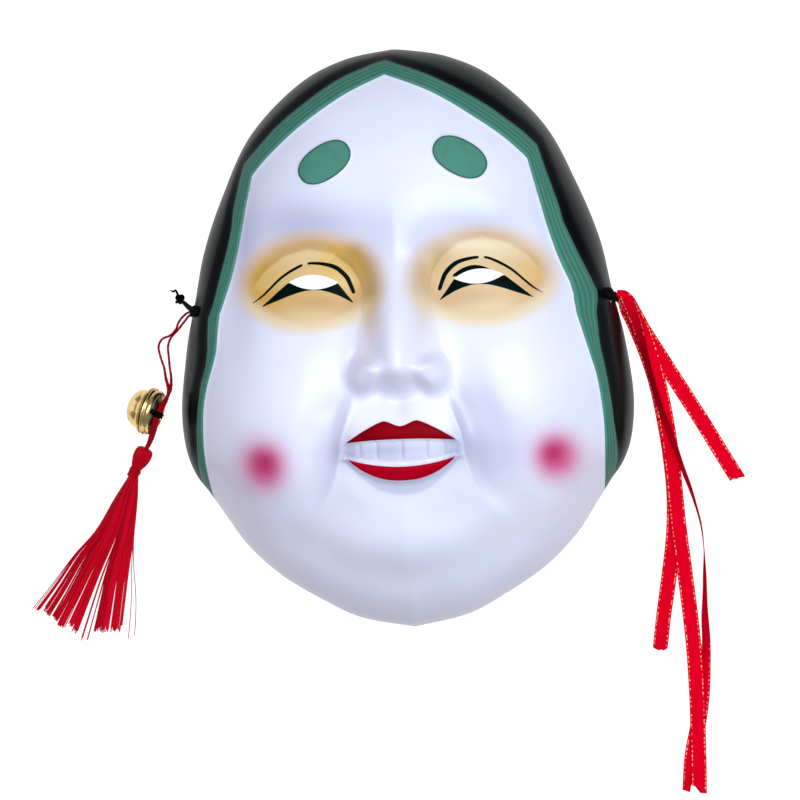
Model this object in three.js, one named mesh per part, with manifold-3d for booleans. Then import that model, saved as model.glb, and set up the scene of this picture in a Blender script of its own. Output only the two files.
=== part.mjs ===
// A moulded plastic folk mask of a smiling round-faced woman, lying face up on its rim.
// Millimetres, +Z up, +Y to the top of the head, +X to the viewer's right, origin under the middle.
// A black elastic is hitched through a hole in each side. The left hitch carries a red cord with a
// brass bell and a tassel, the right one carries four tails of satin ribbon.
import * as THREE from "three";
import { mergeVertices } from "three/addons/utils/BufferGeometryUtils.js";
import Module from "manifold-3d";

const wasm = await Module();
wasm.setup();

// Driving sizes
const WALL = 1.4;
const POLE_Y = -10; // the rings of the shell are centred on the tip of the nose
const CROWN = { forehead: 59, middle: 53.5, chin: 49 };
const EAR_ARCH = { y: 13, half: 34, lift: 4.6 }; // the rim rises here to let the elastic pass
const SIDE_HOLE = { y: 13, z: 17, radius: 2.6 };
const HAIR_STEP = 1.3;
const HAIR_ROLL = 1.2;
const SLIT = { x: 31.1, y: 21.1, half: 9.5, rise: 2.9, drop: 2.75, turn: 3 };
const BROW = { x: 25.5, y: 66.1, long: 10.9, short: 6.8, turn: -31, rise: 0.9 };
const RIBBON = { width: 6, thick: 0.4 };
const STRAND = 0.95;
const ELASTIC = 1.3;
const BELL = { flange: 9.3, dome: 7.65, tilt: 22, heading: 160.7, wall: 0.7, slotTurn: -55, x: -100.3, y: -25, facets: 18 };

// Half outlines, from the top of the head down the side to the chin
const RIM = [
  [0, 112.8], [20, 109.3], [38.5, 100], [57.5, 81], [69.3, 57.5], [77.3, 36], [81.3, 16],
  [85.5, -2], [88.3, -24], [87.2, -40], [83.6, -50.5], [78.4, -57.8], [73, -66], [64, -79],
  [51.4, -91], [35.7, -101], [20.6, -108.5], [0, -112.7],
];
const HAIRLINE = [
  [[0, 100.3], [19.4, 91.3], [40.4, 76.4], [52.6, 65.1]],
  [[52.6, 65.1], [56.9, 46.8], [62.6, 27.1], [68.3, 12.3]],
  [[68.3, 12.3], [70.7, -4.2], [74.6, -19.7], [76.1, -35.1], [76.3, -47.9], [75.9, -61], [75, -75]],
];
const BAND_EDGE = [
  [[0, 105.8], [19.7, 97.4], [40.9, 84.2], [56.1, 69.5]],
  [[56.1, 69.5], [61.5, 48.8], [68, 29], [74.1, 11.8]],
  [[74.1, 11.8], [74.9, -4.8], [78.6, -23], [79.9, -36.5], [80.2, -49.9], [79, -57], [78, -70]],
];

const clamp01 = (t) => Math.min(1, Math.max(0, t));
const smooth = (low, high, value) => {
  const t = clamp01((value - low) / (high - low));
  return t * t * (3 - 2 * t);
};
const mix = (a, b, t) => a + (b - a) * t;

// Radius from the pole as a function of the angle from the top of the head, for a half outline
function polarRadius(stretches) {
  const samples = [];
  for (const stretch of stretches) {
    const curve = new THREE.SplineCurve(stretch.map(([x, y]) => new THREE.Vector2(x, y)));
    for (const p of curve.getPoints(stretch.length * 16)) {
      samples.push([Math.atan2(p.x, p.y - POLE_Y), Math.hypot(p.x, p.y - POLE_Y)]);
    }
  }
  return (angle) => {
    const at = samples.findIndex(([a]) => a >= angle);
    if (at <= 0) return at === 0 ? samples[0][1] : samples.at(-1)[1];
    const [[a0, r0], [a1, r1]] = [samples[at - 1], samples[at]];
    return a1 > a0 ? mix(r0, r1, (angle - a0) / (a1 - a0)) : r1;
  };
}

const rimRadius = polarRadius([RIM]);
const hairRadius = polarRadius(HAIRLINE);
const bandRadius = polarRadius(BAND_EDGE);
const cornerAngles = [HAIRLINE, BAND_EDGE].flatMap((line) =>
  line.slice(1).map(([[x, y]]) => Math.atan2(x, y - POLE_Y)),
);

// Raised or sunk spot: height at the middle, fading over long and short, turned counter-clockwise
function spot(x, y, { at, long, short, turn = 0, height, power = 1 }) {
  const t = THREE.MathUtils.degToRad(turn);
  const [dx, dy] = [x - at[0], y - at[1]];
  const u = (dx * Math.cos(t) + dy * Math.sin(t)) / long;
  const v = (dy * Math.cos(t) - dx * Math.sin(t)) / short;
  return height * Math.exp(-Math.pow(u * u + v * v, power));
}

// Distance from a point to a chain of points, for ridges and folds
function chainDistance(x, y, chain) {
  let best = Infinity;
  for (let i = 1; i < chain.length; i++) {
    const [[ax, ay], [bx, by]] = [chain[i - 1], chain[i]];
    const [ux, uy] = [bx - ax, by - ay];
    const t = clamp01(((x - ax) * ux + (y - ay) * uy) / (ux * ux + uy * uy));
    best = Math.min(best, Math.hypot(x - ax - t * ux, y - ay - t * uy));
  }
  return best;
}
const ridge = (x, y, chain, width, height) =>
  height * Math.exp(-Math.pow(chainDistance(x, y, chain) / width, 2));

function domeHeight(x, y) {
  const angle = Math.atan2(Math.abs(x), y - POLE_Y);
  const share = Math.min(1, Math.hypot(x, y - POLE_Y) / rimRadius(angle));
  const crown = y > 0
    ? mix(CROWN.middle, CROWN.forehead, smooth(10, 75, y))
    : mix(CROWN.middle, CROWN.chin, smooth(-30, -85, y));
  const side = smooth(55, -10, y);
  return crown * Math.pow(1 - Math.pow(share, 4), mix(0.55, 0.68, side));
}

function noseHeight(x, y) {
  const bridge = 1.5 + 18.5 * smooth(32, -9, y);
  const width = mix(6.5, 11.8, smooth(34, -14, y));
  const under = smooth(-24, -12, y);
  const above = smooth(46, 20, y);
  const body = bridge * under * above * Math.exp(-Math.pow(Math.abs(x) / width, 2.6));
  const wing = spot(x, y, { at: [12.6, -14.4], long: 6, short: 7, height: 7.5, power: 1.5 });
  const nostril = spot(x, y, { at: [8.8, -20.4], long: 4.4, short: 2.6, height: -1.6 });
  return body + wing + nostril;
}

function eyeHeight(x, y) {
  const socket = spot(x, y, { at: [33, 25], long: 27, short: 15, turn: -6, height: -5.5, power: 1.4 });
  const inner = spot(x, y, { at: [12.5, 24], long: 7, short: 12, height: -3.5 });
  const lid = spot(x, y, { at: [33.5, 21], long: 20, short: 8.6, turn: -6, height: 5.4, power: 1.5 });
  return socket + inner + lid;
}

const UPPER_LIP = { corner: [21, -39.8], peak: [6.3, -31.9], dip: -33.9, lower: -38.8 };
const LOWER_LIP = { corner: [20.7, -45.7], upper: -49.1, lower: -54.4 };
const upperLipTop = (x) =>
  x < UPPER_LIP.peak[0]
    ? mix(UPPER_LIP.dip, UPPER_LIP.peak[1], smooth(0, UPPER_LIP.peak[0], x))
    : mix(UPPER_LIP.peak[1], UPPER_LIP.corner[1],
        Math.pow((x - UPPER_LIP.peak[0]) / (UPPER_LIP.corner[0] - UPPER_LIP.peak[0]), 1.25));
const upperLipBase = (x) =>
  mix(UPPER_LIP.lower, UPPER_LIP.corner[1], Math.pow(clamp01(x / UPPER_LIP.corner[0]), 2.4));
const lowerLipTop = (x) =>
  mix(LOWER_LIP.upper, LOWER_LIP.corner[1], Math.pow(clamp01(x / LOWER_LIP.corner[0]), 2));
const lowerLipBase = (x) =>
  mix(LOWER_LIP.lower, LOWER_LIP.corner[1], Math.pow(clamp01(x / LOWER_LIP.corner[0]), 2.3));

function mouthHeight(x, y) {
  const muzzle = spot(x, y, { at: [0, -42], long: 25, short: 22, height: 5, power: 1.4 });
  const inside = smooth(23.5, 19, x);
  const pad = (top, base) => smooth(base - 1.2, base + 1.8, y) * smooth(top + 1.2, top - 1.8, y);
  const lips = 2 * (pad(upperLipTop(x), upperLipBase(x)) + pad(lowerLipTop(x), lowerLipBase(x)));
  const teeth = -1.2 * pad(upperLipBase(x), lowerLipTop(x));
  const trough = -2.6 * Math.exp(-Math.pow((y - lowerLipBase(x) + 4) / 3, 2)) * smooth(26, 16, x);
  return muzzle + inside * (lips + teeth) + trough;
}

const SMILE_FOLD = [[19.5, -18.6], [23.6, -30], [24, -41], [22, -59.5], [28, -70]];

function faceHeight(x, y) {
  const cheek = spot(x, y, { at: [46, -22], long: 24, short: 32, turn: 8, height: 5, power: 1.3 });
  const jowl = spot(x, y, { at: [46, -58], long: 20, short: 18, turn: -30, height: 3 });
  const chin = spot(x, y, { at: [0, -74], long: 19, short: 12, height: 4.5, power: 1.2 });
  const underChin = ridge(x, y, [[0, -92], [24, -88], [44, -76]], 7, -2);
  const fold = ridge(x, y, SMILE_FOLD, 4.2, -2.4);
  const philtrum = spot(x, y, { at: [0, -27.5], long: 2.6, short: 5, height: -0.9 });
  const brow = spot(x, y, {
    at: [BROW.x, BROW.y], long: BROW.long, short: BROW.short, turn: BROW.turn,
    height: BROW.rise, power: 8,
  });
  const temple = spot(x, y, { at: [60, 34], long: 14, short: 24, turn: -20, height: -1.5 });
  return cheek + jowl + chin + underChin + fold + philtrum + brow + temple;
}

function hairHeight(angle, radius) {
  const band = smooth(-0.3, 0.9, radius - hairRadius(angle));
  const groove = smooth(-0.6, 0.3, radius - bandRadius(angle));
  const roll = smooth(0.3, 4, radius - bandRadius(angle));
  return HAIR_STEP * (band - 0.8 * groove) + (HAIR_STEP + HAIR_ROLL) * roll;
}

const archLift = (y) => {
  const t = Math.min(1, Math.abs(y - EAR_ARCH.y) / EAR_ARCH.half);
  return EAR_ARCH.lift * Math.pow(0.5 + 0.5 * Math.cos(Math.PI * t), 2);
};

// A point of the outer skin, by angle from the top of the head and radius from the pole
function skinPoint(angle, radius) {
  const half = Math.abs(angle);
  const x = radius * Math.sin(half);
  const y = POLE_Y + radius * Math.cos(half);
  const share = radius / rimRadius(half);
  const fade = 1 - Math.pow(share, 14);
  const relief = noseHeight(x, y) + eyeHeight(x, y) + mouthHeight(x, y) + faceHeight(x, y);
  const dome = domeHeight(x, y) + archLift(y) * Math.pow(share, 6);
  const lift = dome + fade * (relief + hairHeight(half, radius) * (1 - 0.6 * share));
  const spread = 1 + (fade * hairHeight(half, radius) * 0.5) / Math.max(radius, 1);
  return new THREE.Vector3(
    radius * Math.sin(angle) * spread,
    POLE_Y + radius * Math.cos(angle) * spread,
    share >= 1 ? archLift(y) : lift,
  );
}

// Shell: rings of points, a fine outer skin, a coarser inner one and a flat rim between them
const AROUND = 76;
const FACE_SHARES = [
  0.03, 0.08, 0.14, 0.2, 0.26, 0.32, 0.38, 0.44, 0.5, 0.56, 0.62, 0.68, 0.75, 0.83, 0.91, 1,
];
const BAND_SHARES = [0.22, 0.9, 1.06];
const HAIR_SHARES = [0.25, 0.5, 0.72, 0.9, 1];

function ringAngles() {
  const angles = Array.from({ length: AROUND / 2 + 1 }, (_, i) => (i / (AROUND / 2)) * Math.PI);
  for (const corner of cornerAngles) {
    let near = 0;
    angles.forEach((a, i) => {
      if (Math.abs(a - corner) < Math.abs(angles[near] - corner)) near = i;
    });
    angles[near] = corner;
  }
  return [...angles.slice(0, -1), ...angles.slice(1).reverse().map((a) => -a)];
}

function ringRadii(half) {
  const rim = rimRadius(half);
  const line = Math.min(hairRadius(half), 0.9 * rim);
  const edge = Math.min(bandRadius(half), 0.95 * rim);
  return [
    ...FACE_SHARES.map((s) => s * line),
    ...BAND_SHARES.map((s) => mix(line, edge, s)),
    ...HAIR_SHARES.map((s) => mix(mix(line, edge, BAND_SHARES.at(-1)), rim, s)),
  ];
}

function shellGeometry() {
  const angles = ringAngles();
  const rows = angles.map((angle) => ringRadii(Math.abs(angle)).map((r) => skinPoint(angle, r)));
  const rings = rows[0].length;
  const pole = skinPoint(0, 0);
  const points = [pole, ...rows.flat()];
  const outer = (i, j) => (j < 0 ? 0 : 1 + (i % AROUND) * rings + j);
  const normals = rows.map((row, i) =>
    row.map((p, j) => {
      const along = points[outer(i + 1, j)].clone().sub(points[outer(i + AROUND - 1, j)]);
      const out = points[outer(i, Math.min(j + 1, rings - 1))].clone().sub(points[outer(i, j - 1)]);
      const n = out.cross(along).normalize();
      if (n.z < 0) n.negate();
      if (j === rings - 1) n.setZ(0).normalize();
      return n;
    }),
  );
  const innerRings = Array.from({ length: rings }, (_, j) => j).filter(
    (j) => j % 2 === 1 || j === rings - 1,
  );
  const innerStart = points.length;
  points.push(new THREE.Vector3(pole.x, pole.y, pole.z - WALL));
  for (let i = 0; i < AROUND; i += 2) {
    for (const j of innerRings) {
      points.push(rows[i][j].clone().addScaledVector(normals[i][j], -WALL));
    }
  }
  const inner = (i, k) =>
    k < 0 ? innerStart : innerStart + 1 + (Math.floor(i / 2) % (AROUND / 2)) * innerRings.length + k;
  const faces = [];
  const quad = (a, b, c, d) => faces.push(a, b, c, a, c, d);
  for (let i = 0; i < AROUND; i++) {
    faces.push(0, outer(i + 1, 0), outer(i, 0));
    for (let j = 1; j < rings; j++) {
      quad(outer(i, j - 1), outer(i + 1, j - 1), outer(i + 1, j), outer(i, j));
    }
  }
  const last = innerRings.length - 1;
  for (let i = 0; i < AROUND; i += 2) {
    faces.push(inner(0, -1), inner(i, 0), inner(i + 2, 0));
    for (let k = 1; k <= last; k++) {
      quad(inner(i, k - 1), inner(i, k), inner(i + 2, k), inner(i + 2, k - 1));
    }
    faces.push(outer(i, rings - 1), outer(i + 1, rings - 1), inner(i, last));
    faces.push(outer(i + 1, rings - 1), inner(i + 2, last), inner(i, last));
    faces.push(outer(i + 1, rings - 1), outer(i + 2, rings - 1), inner(i + 2, last));
  }
  return indexed(points, faces);
}

function indexed(points, faces) {
  const geometry = new THREE.BufferGeometry();
  geometry.setAttribute("position", new THREE.Float32BufferAttribute(
    points.flatMap((p) => [p.x, p.y, p.z]), 3));
  geometry.setIndex(faces);
  return geometry;
}

// Solids for cuts and joins
function toSolid(geometry) {
  const bare = geometry.index ? geometry.toNonIndexed() : geometry.clone();
  for (const name of Object.keys(bare.attributes)) {
    if (name !== "position") bare.deleteAttribute(name);
  }
  const merged = mergeVertices(bare, 1e-3);
  return new wasm.Manifold(new wasm.Mesh({
    numProp: 3,
    vertProperties: merged.attributes.position.array,
    triVerts: new Uint32Array(merged.index.array),
  }));
}

function fromSolid(solid) {
  const mesh = solid.getMesh();
  const geometry = new THREE.BufferGeometry();
  geometry.setAttribute("position", new THREE.BufferAttribute(
    new Float32Array(mesh.vertProperties), mesh.numProp));
  geometry.setIndex(new THREE.BufferAttribute(new Uint32Array(mesh.triVerts), 1));
  return geometry;
}

// The lens of an eye slit: an upper and a lower arc between two tips
function slitCutter(side) {
  const outline = [];
  const steps = 12;
  for (let i = 0; i <= steps; i++) {
    const t = -1 + (2 * i) / steps;
    outline.push(new THREE.Vector2(t * SLIT.half, SLIT.rise * (1 - t * t)));
  }
  for (let i = steps - 1; i > 0; i--) {
    const t = -1 + (2 * i) / steps;
    outline.push(new THREE.Vector2(t * SLIT.half, -SLIT.drop * (1 - t * t)));
  }
  const cutter = new THREE.ExtrudeGeometry(new THREE.Shape(outline.reverse()), {
    depth: 60, bevelEnabled: false,
  });
  cutter.rotateZ(THREE.MathUtils.degToRad(side * SLIT.turn));
  cutter.translate(side * SLIT.x, SLIT.y, 25);
  return toSolid(cutter);
}

function holeCutter(side) {
  const cutter = new THREE.CylinderGeometry(SIDE_HOLE.radius, SIDE_HOLE.radius, 30, 16);
  cutter.rotateZ(Math.PI / 2);
  cutter.translate(side * 78, SIDE_HOLE.y, SIDE_HOLE.z);
  return toSolid(cutter);
}

function cutShell() {
  let shell = toSolid(shellGeometry());
  for (const side of [-1, 1]) {
    shell = shell.subtract(slitCutter(side)).subtract(holeCutter(side));
  }
  return fromSolid(shell);
}

// Cords: a round section along a smooth curve through hand-set points
function cordGeometry(route, diameter, steps, sides = 8) {
  const path = new THREE.CatmullRomCurve3(route.map((p) => new THREE.Vector3(...p)));
  const circle = new THREE.Shape().absarc(0, 0, diameter / 2, 0, Math.PI * 2);
  const section = new THREE.Shape(circle.getSpacedPoints(sides).slice(0, sides));
  const tube = new THREE.ExtrudeGeometry(section, {
    steps, bevelEnabled: false, extrudePath: path,
  });
  return facingOut(tube);
}

function facingOut(geometry) {
  const solid = toSolid(geometry);
  if (solid.volume() > 0) return fromSolid(solid);
  const turned = geometry.index ? geometry.toNonIndexed() : geometry.clone();
  const a = turned.attributes.position.array;
  for (let i = 0; i < a.length; i += 9) {
    for (let k = 0; k < 3; k++) [a[i + 3 + k], a[i + 6 + k]] = [a[i + 6 + k], a[i + 3 + k]];
  }
  return fromSolid(toSolid(turned));
}

// A body swept through rings of points, either closed on itself or capped at both ends
function sweptGeometry(rings, closed = false) {
  const sides = rings[0].length;
  const faces = [];
  const at = (i, j) => (i % rings.length) * sides + (j % sides);
  for (let i = 0; i < (closed ? rings.length : rings.length - 1); i++) {
    for (let j = 0; j < sides; j++) {
      const [a, b, c, d] = [at(i, j), at(i, j + 1), at(i + 1, j + 1), at(i + 1, j)];
      faces.push(...(j < sides / 2 ? [a, b, c, a, c, d] : [a, b, d, b, c, d]));
    }
  }
  for (let j = 1; !closed && j < sides - 1; j++) {
    faces.push(0, at(0, j + 1), at(0, j));
    faces.push(at(rings.length - 1, 0), at(rings.length - 1, j), at(rings.length - 1, j + 1));
  }
  return facingOut(indexed(rings.flat(), faces));
}

// A ribbon through stations of [x, y, z, twist in degrees], flat on the ground at twist 0
function ribbonGeometry(stations, steps) {
  const path = new THREE.CatmullRomCurve3(stations.map(([x, y, z]) => new THREE.Vector3(x, y, z)));
  const twists = new THREE.SplineCurve(stations.map(([, , , t], i) => new THREE.Vector2(i, t)));
  const rings = [];
  for (let i = 0; i <= steps; i++) {
    const tangent = path.getTangent(i / steps);
    const across = new THREE.Vector3(tangent.y, -tangent.x, 0).normalize();
    const twist = THREE.MathUtils.degToRad(twists.getPoint(i / steps).y);
    across.applyAxisAngle(tangent, twist);
    const up = across.clone().cross(tangent).normalize();
    const middle = path.getPoint(i / steps);
    rings.push([[-1, -1], [1, -1], [1, 1], [-1, 1]].map(([u, v]) =>
      middle.clone()
        .addScaledVector(across, (u * RIBBON.width) / 2)
        .addScaledVector(up, (v * RIBBON.thick) / 2)));
  }
  return sweptGeometry(rings);
}

// The turns of elastic round the rim at a side hole: a flat ring through the hole and round below
function hitchGeometry(side) {
  const ring = { x: 80.2, z: 9.95, across: 2.45, up: 7.05, square: 0.6, lean: 0.2, skew: 0.235, width: 3.4, thick: 0.9 };
  const steps = 16;
  const rings = [];
  for (let i = 0; i < steps; i++) {
    const a = (i / steps) * Math.PI * 2;
    rings.push([[-1, -1], [-1, 1], [1, 1], [1, -1]].map(([u, v]) => {
      const grow = (u * ring.thick) / 2;
      const z = (ring.up + grow) * Math.sin(a);
      const out = Math.sign(Math.cos(a)) * Math.pow(Math.abs(Math.cos(a)), ring.square);
      const half = (ring.width / 2) * (u > 0 ? 0.7 : 1);
      const x = ring.x + (ring.across + grow) * out - ring.lean * z - ring.skew * v * half;
      return new THREE.Vector3(side * x, SIDE_HOLE.y + v * half, ring.z + z);
    }));
  }
  return sweptGeometry(rings, true);
}

// Bell: a lathe profile turned to the bell's axis, which tips down at the dome
function placeOnBell(geometry) {
  const tilt = THREE.MathUtils.degToRad(BELL.tilt);
  geometry.rotateZ(-Math.PI / 2);
  geometry.rotateY(tilt);
  geometry.rotateZ(THREE.MathUtils.degToRad(BELL.heading));
  geometry.translate(BELL.x, BELL.y, BELL.flange * Math.cos(tilt) + 1.4 * Math.sin(tilt));
  return geometry;
}

function cupGeometry(outer, wall) {
  const inner = outer.map(([r, h]) => [Math.max(0, r - wall), h - Math.sign(outer.at(-1)[1]) * wall]);
  inner[0] = [inner[0][0], outer[0][1]];
  const profile = [...outer, ...inner.reverse()].map(([r, h]) => new THREE.Vector2(r, h));
  profile.push(profile[0].clone());
  return new THREE.LatheGeometry(profile, BELL.facets);
}

function bellBowl() {
  const { flange, dome, wall } = BELL;
  const outer = [[flange - 0.1, 0.15], [flange - 0.1, 1.3], [dome, 2.8]];
  for (const a of [25, 50, 72]) {
    const t = THREE.MathUtils.degToRad(a);
    outer.push([dome * Math.cos(t), 2.8 + 5.7 * Math.sin(t)]);
  }
  outer.push([0, 8.5]);
  const slot = new THREE.BoxGeometry(1.3, 5, 11.5);
  slot.rotateY(THREE.MathUtils.degToRad(BELL.slotTurn));
  slot.translate(0, 8.5, 0);
  const cup = toSolid(facingOut(cupGeometry(outer, wall)));
  return placeOnBell(fromSolid(cup.subtract(toSolid(slot))));
}

function bellCap() {
  const { flange, wall } = BELL;
  const outer = [[flange, -0.15], [flange, -0.9], [flange - 1.2, -2.4], [flange - 4.4, -3.6],
    [0, -4.1]];
  return placeOnBell(facingOut(cupGeometry(outer, wall)));
}

// The black thread that ties the pair of strands at the shank
function bellTie() {
  const loop = new THREE.TorusGeometry(1.5, 0.3, 5, 14);
  loop.scale(1.25, 0.8, 1);
  loop.rotateX(Math.PI / 2);
  loop.rotateZ(THREE.MathUtils.degToRad(-17));
  loop.translate(-94.15, -26.7, 14.2);
  return loop;
}

function bellShank() {
  const loop = new THREE.TorusGeometry(1.3, 0.4, 6, 12);
  loop.translate(0, -6.1, 0);
  return placeOnBell(loop);
}

// Tassel head and binding: lathe bodies along the way the tassel points
const TASSEL = { x: -102.4, y: -39.2, heading: 241, z: 3.9 };
function placeOnTassel(geometry, drop) {
  geometry.rotateZ(-Math.PI / 2);
  geometry.rotateY(THREE.MathUtils.degToRad(drop));
  geometry.rotateZ(THREE.MathUtils.degToRad(TASSEL.heading));
  geometry.translate(TASSEL.x, TASSEL.y, TASSEL.z);
  return geometry;
}

function latheBody(profile, sides) {
  return facingOut(new THREE.LatheGeometry(profile.map(([r, h]) => new THREE.Vector2(r, h)), sides));
}

// Skirt: locks of silk side by side in a fan, one closed body with a ridged upper face
const SKIRT = {
  left: [[-110.6, -51.2], [-116.4, -59.4], [-123.7, -70.9], [-132.2, -80.4], [-140.7, -91.1],
    [-148.9, -101.1]],
  right: [[-106.7, -51.4], [-107.1, -59.7], [-109.1, -73.7], [-111.5, -86.2], [-113.5, -99],
    [-115.4, -112]],
  locks: 9,
};
function skirtGeometry() {
  const line = (points) => new THREE.SplineCurve(points.map(([x, y]) => new THREE.Vector2(x, y)));
  const [left, right] = [line(SKIRT.left), line(SKIRT.right)];
  const stations = 9;
  const across = SKIRT.locks * 2;
  const rings = [];
  for (let i = 0; i <= stations; i++) {
    const t = i / stations;
    const thick = mix(4.6, 1.6, Math.pow(t, 0.6));
    const ring = [];
    for (let j = 0; j <= across; j++) {
      const s = j / across;
      const ragged = t === 1 ? (j % 2 ? 1 : -1.6) * 1.2 : 0;
      const a = left.getPoint(clamp01(t));
      const b = right.getPoint(clamp01(t));
      const p = a.clone().lerp(b, s);
      const bow = Math.sin(Math.PI * s) * 6 * t * t;
      const round = Math.sin(Math.PI * Math.min(1, Math.max(0, s * 0.94 + 0.03)));
      const height = 0.3 + thick * Math.pow(round, 0.6) * (j % 2 ? 1 : 0.72);
      ring.push(new THREE.Vector3(p.x - 0.45 * (bow + ragged), p.y - 0.9 * (bow + ragged), height));
    }
    const top = ring.map((p) => p.clone());
    const base = [top.at(-1), top[Math.round(across / 2)], top[0]].map((p) => p.clone().setZ(0.15));
    rings.push([...top, ...base]);
  }
  return sweptGeometry(rings);
}

// Free stretches, from where they leave the rim to where they end
const HEAD_ELASTIC_ROUTE = [
  [-77.3, 12.8, 5], [-75, 11.6, 2.4], [-71.5, 7, 0.85], [-65, -8, 0.8], [-56, -27, 0.8],
  [-43, -45, 0.8], [-25, -58, 0.8], [0, -63, 0.8], [25, -58, 0.8], [43, -45, 0.8],
  [56, -27, 0.8], [65, -8, 0.8], [71.5, 7, 0.85], [75, 11.6, 2.4], [77.3, 12.8, 5],
];
const ELASTIC_TAIL_ROUTE = [[-84.6, 14.6, 4.4], [-85.5, 15.6, 3.2], [-86.5, 16.9, 2.2], [-87.2, 17.8, 1.7]];
const UPPER_STRAND_ROUTE = [
  [-84.5, 12.9, 5.6], [-85.8, 12, 3.4], [-87.4, 10.6, 2], [-88.6, 8.9, 1.8], [-89.3, 7, 1.8],
  [-91.6, 4.5, 1.5], [-95.3, 2.9, 0.6], [-96.7, 0.2, 0.6], [-96.1, -3.9, 0.6], [-94.8, -8.4, 0.6],
  [-94, -12.4, 0.9], [-92.9, -16, 3], [-93, -20, 9], [-94.2, -24.4, 14.2], [-95.4, -28.4, 14.2],
  [-98.6, -34, 7], [-101, -37.4, 4.2],
];
const LOWER_STRAND_ROUTE = [
  [-84.6, 11.1, 4.6], [-85.6, 10, 2.3], [-87.2, 8.4, 0.7], [-88.6, 6.7, 0.55], [-90.3, 5, 0.55],
  [-92, 3, 0.55], [-93, 0, 0.55], [-92.8, -5, 0.55], [-92.2, -10, 0.6], [-91.6, -14, 1.4],
  [-91.3, -17, 3.4], [-91.5, -20.6, 9], [-92.9, -25, 14.2], [-94.1, -29, 14.2], [-97.2, -34.6, 7],
  [-99.8, -38.2, 4.2],
];
const RIBBONS = {
  ribbon_short: [
    [86.4, 10.8, 4.2, 12], [89.5, 5.6, 3, 8], [92.5, 0.4, 1.8, 3], [95.9, -5.3, 1.1, 0],
    [99.6, -11.5, 1, 0], [103.2, -17.6, 0.7, 0], [109.3, -27.8, 0.5, 0], [115, -37.4, 0.5, 0],
    [121.3, -48.6, 0.5, 0], [127.6, -59.5, 0.5, 0],
  ],
  ribbon_long: [
    [86.6, 11.8, 5.8, 14], [88.9, 7.6, 5, 12], [92.3, 0.6, 3.8, 8], [94.5, -6.4, 2.8, 4],
    [96.4, -13.7, 2.1, 0], [98.2, -22, 1.7, 0], [100.3, -34, 1.4, 0], [102.1, -49.6, 1.4, 0],
    [103.9, -76.2, 1.4, 0], [105.8, -96, 1.5, 0], [107.6, -116, 1.6, 0], [108.2, -126, 2.1, 0],
    [108.5, -136, 3, 0], [108.7, -147, 2.45, 0], [108.6, -157, 2.2, 0], [108.5, -167, 2.65, 0],
    [108.2, -180.6, 1.6, 0],
  ],
  ribbon_frayed: [
    [86.2, 9.4, 2.9, 8], [89, 3.6, 1.7, 4], [91.6, -3, 0.7, 0], [94.4, -11, 0.4, 0],
    [97, -20, 0.4, 0], [99.6, -34, 0.4, 0], [101.6, -49, 0.4, 0], [102.6, -64, 0.4, 0],
    [101.9, -80, 0.45, 0], [99.5, -96.4, 0.7, 8], [97, -111, 1, 15], [95, -124.8, 1.2, 18],
  ],
  ribbon_twisted: [
    [86.8, 12.6, 8, 22], [89.6, 4.8, 7.4, 38], [92.1, -4.6, 6.6, 60], [95.1, -17.4, 5.6, 72],
    [98, -29, 5.1, 68], [102.2, -42, 4.9, 67], [106, -54, 4.6, 74], [109.9, -66, 3.7, 80],
    [112.4, -76, 3.3, 88], [113.3, -85, 3.3, 90], [113.2, -99, 3.3, 78], [112.9, -112, 3.1, 66],
    [112.9, -124, 2.8, 56], [111.7, -134, 2, 34], [110.4, -145, 0.95, 10],
    [108.6, -155, 0.6, -4], [105.8, -166, 1.5, -24], [104.3, -173.4, 2.4, -44],
    [103.3, -179.6, 2.9, -58],
  ],
};
const RIBBON_STEPS = {
  ribbon_short: 12, ribbon_long: 24, ribbon_frayed: 18, ribbon_twisted: 36,
};

const part = new THREE.Group();
function add(name, geometry, color, roughness, metalness = 0) {
  const mesh = new THREE.Mesh(geometry, new THREE.MeshStandardMaterial({ color, roughness, metalness }));
  mesh.name = name;
  part.add(mesh);
}

const PEARL = "#e6e6f6";
const BLACK = "#101010";
const RED = "#c8001e";
const BRASS = "#d8b45a";

add("mask_shell", cutShell(), PEARL, 0.2);
add("head_elastic", cordGeometry(HEAD_ELASTIC_ROUTE, ELASTIC, 60), BLACK, 0.8);
add("elastic_hitch_left", hitchGeometry(-1), BLACK, 0.8);
add("elastic_hitch_right", hitchGeometry(1), BLACK, 0.8);
add("elastic_tail_left", cordGeometry(ELASTIC_TAIL_ROUTE, 1.5, 5), BLACK, 0.8);
add("stopper_knot", new THREE.IcosahedronGeometry(1.55, 1).translate(-88.6, 19.3, 1.65), BLACK, 0.8);
add("strand_upper", cordGeometry(UPPER_STRAND_ROUTE, STRAND, 28), RED, 0.6);
add("strand_lower", cordGeometry(LOWER_STRAND_ROUTE, STRAND, 26), RED, 0.6);
add("bell_bowl", bellBowl(), BRASS, 0.2, 1);
add("bell_cap", bellCap(), BRASS, 0.2, 1);
add("bell_shank", bellShank(), BRASS, 0.3, 1);
add("bell_tie", bellTie(), BLACK, 0.8);
add("tassel_head", placeOnTassel(latheBody(
  [[0, 0.5], [1.9, 0.9], [3.2, 2.6], [3.5, 4.6], [3, 7], [2.1, 8.9], [0, 9.1]], 12), 4), RED, 0.6);
add("tassel_binding", placeOnTassel(latheBody(
  [[0, 9.5], [2, 9.5], [2.25, 10], [2.25, 12.5], [2, 13], [0, 13]], 12), 6), RED, 0.6);
add("tassel_skirt", skirtGeometry(), RED, 0.6);
for (const [name, stations] of Object.entries(RIBBONS)) {
  add(name, ribbonGeometry(stations, RIBBON_STEPS[name]), RED, 0.4);
}

export default part;
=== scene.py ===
"""A moulded plastic festival mask that lies face up, with its elastic, bell, tassel and ribbons.

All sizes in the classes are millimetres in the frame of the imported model. Meshes are written in metres.
"""

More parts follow.
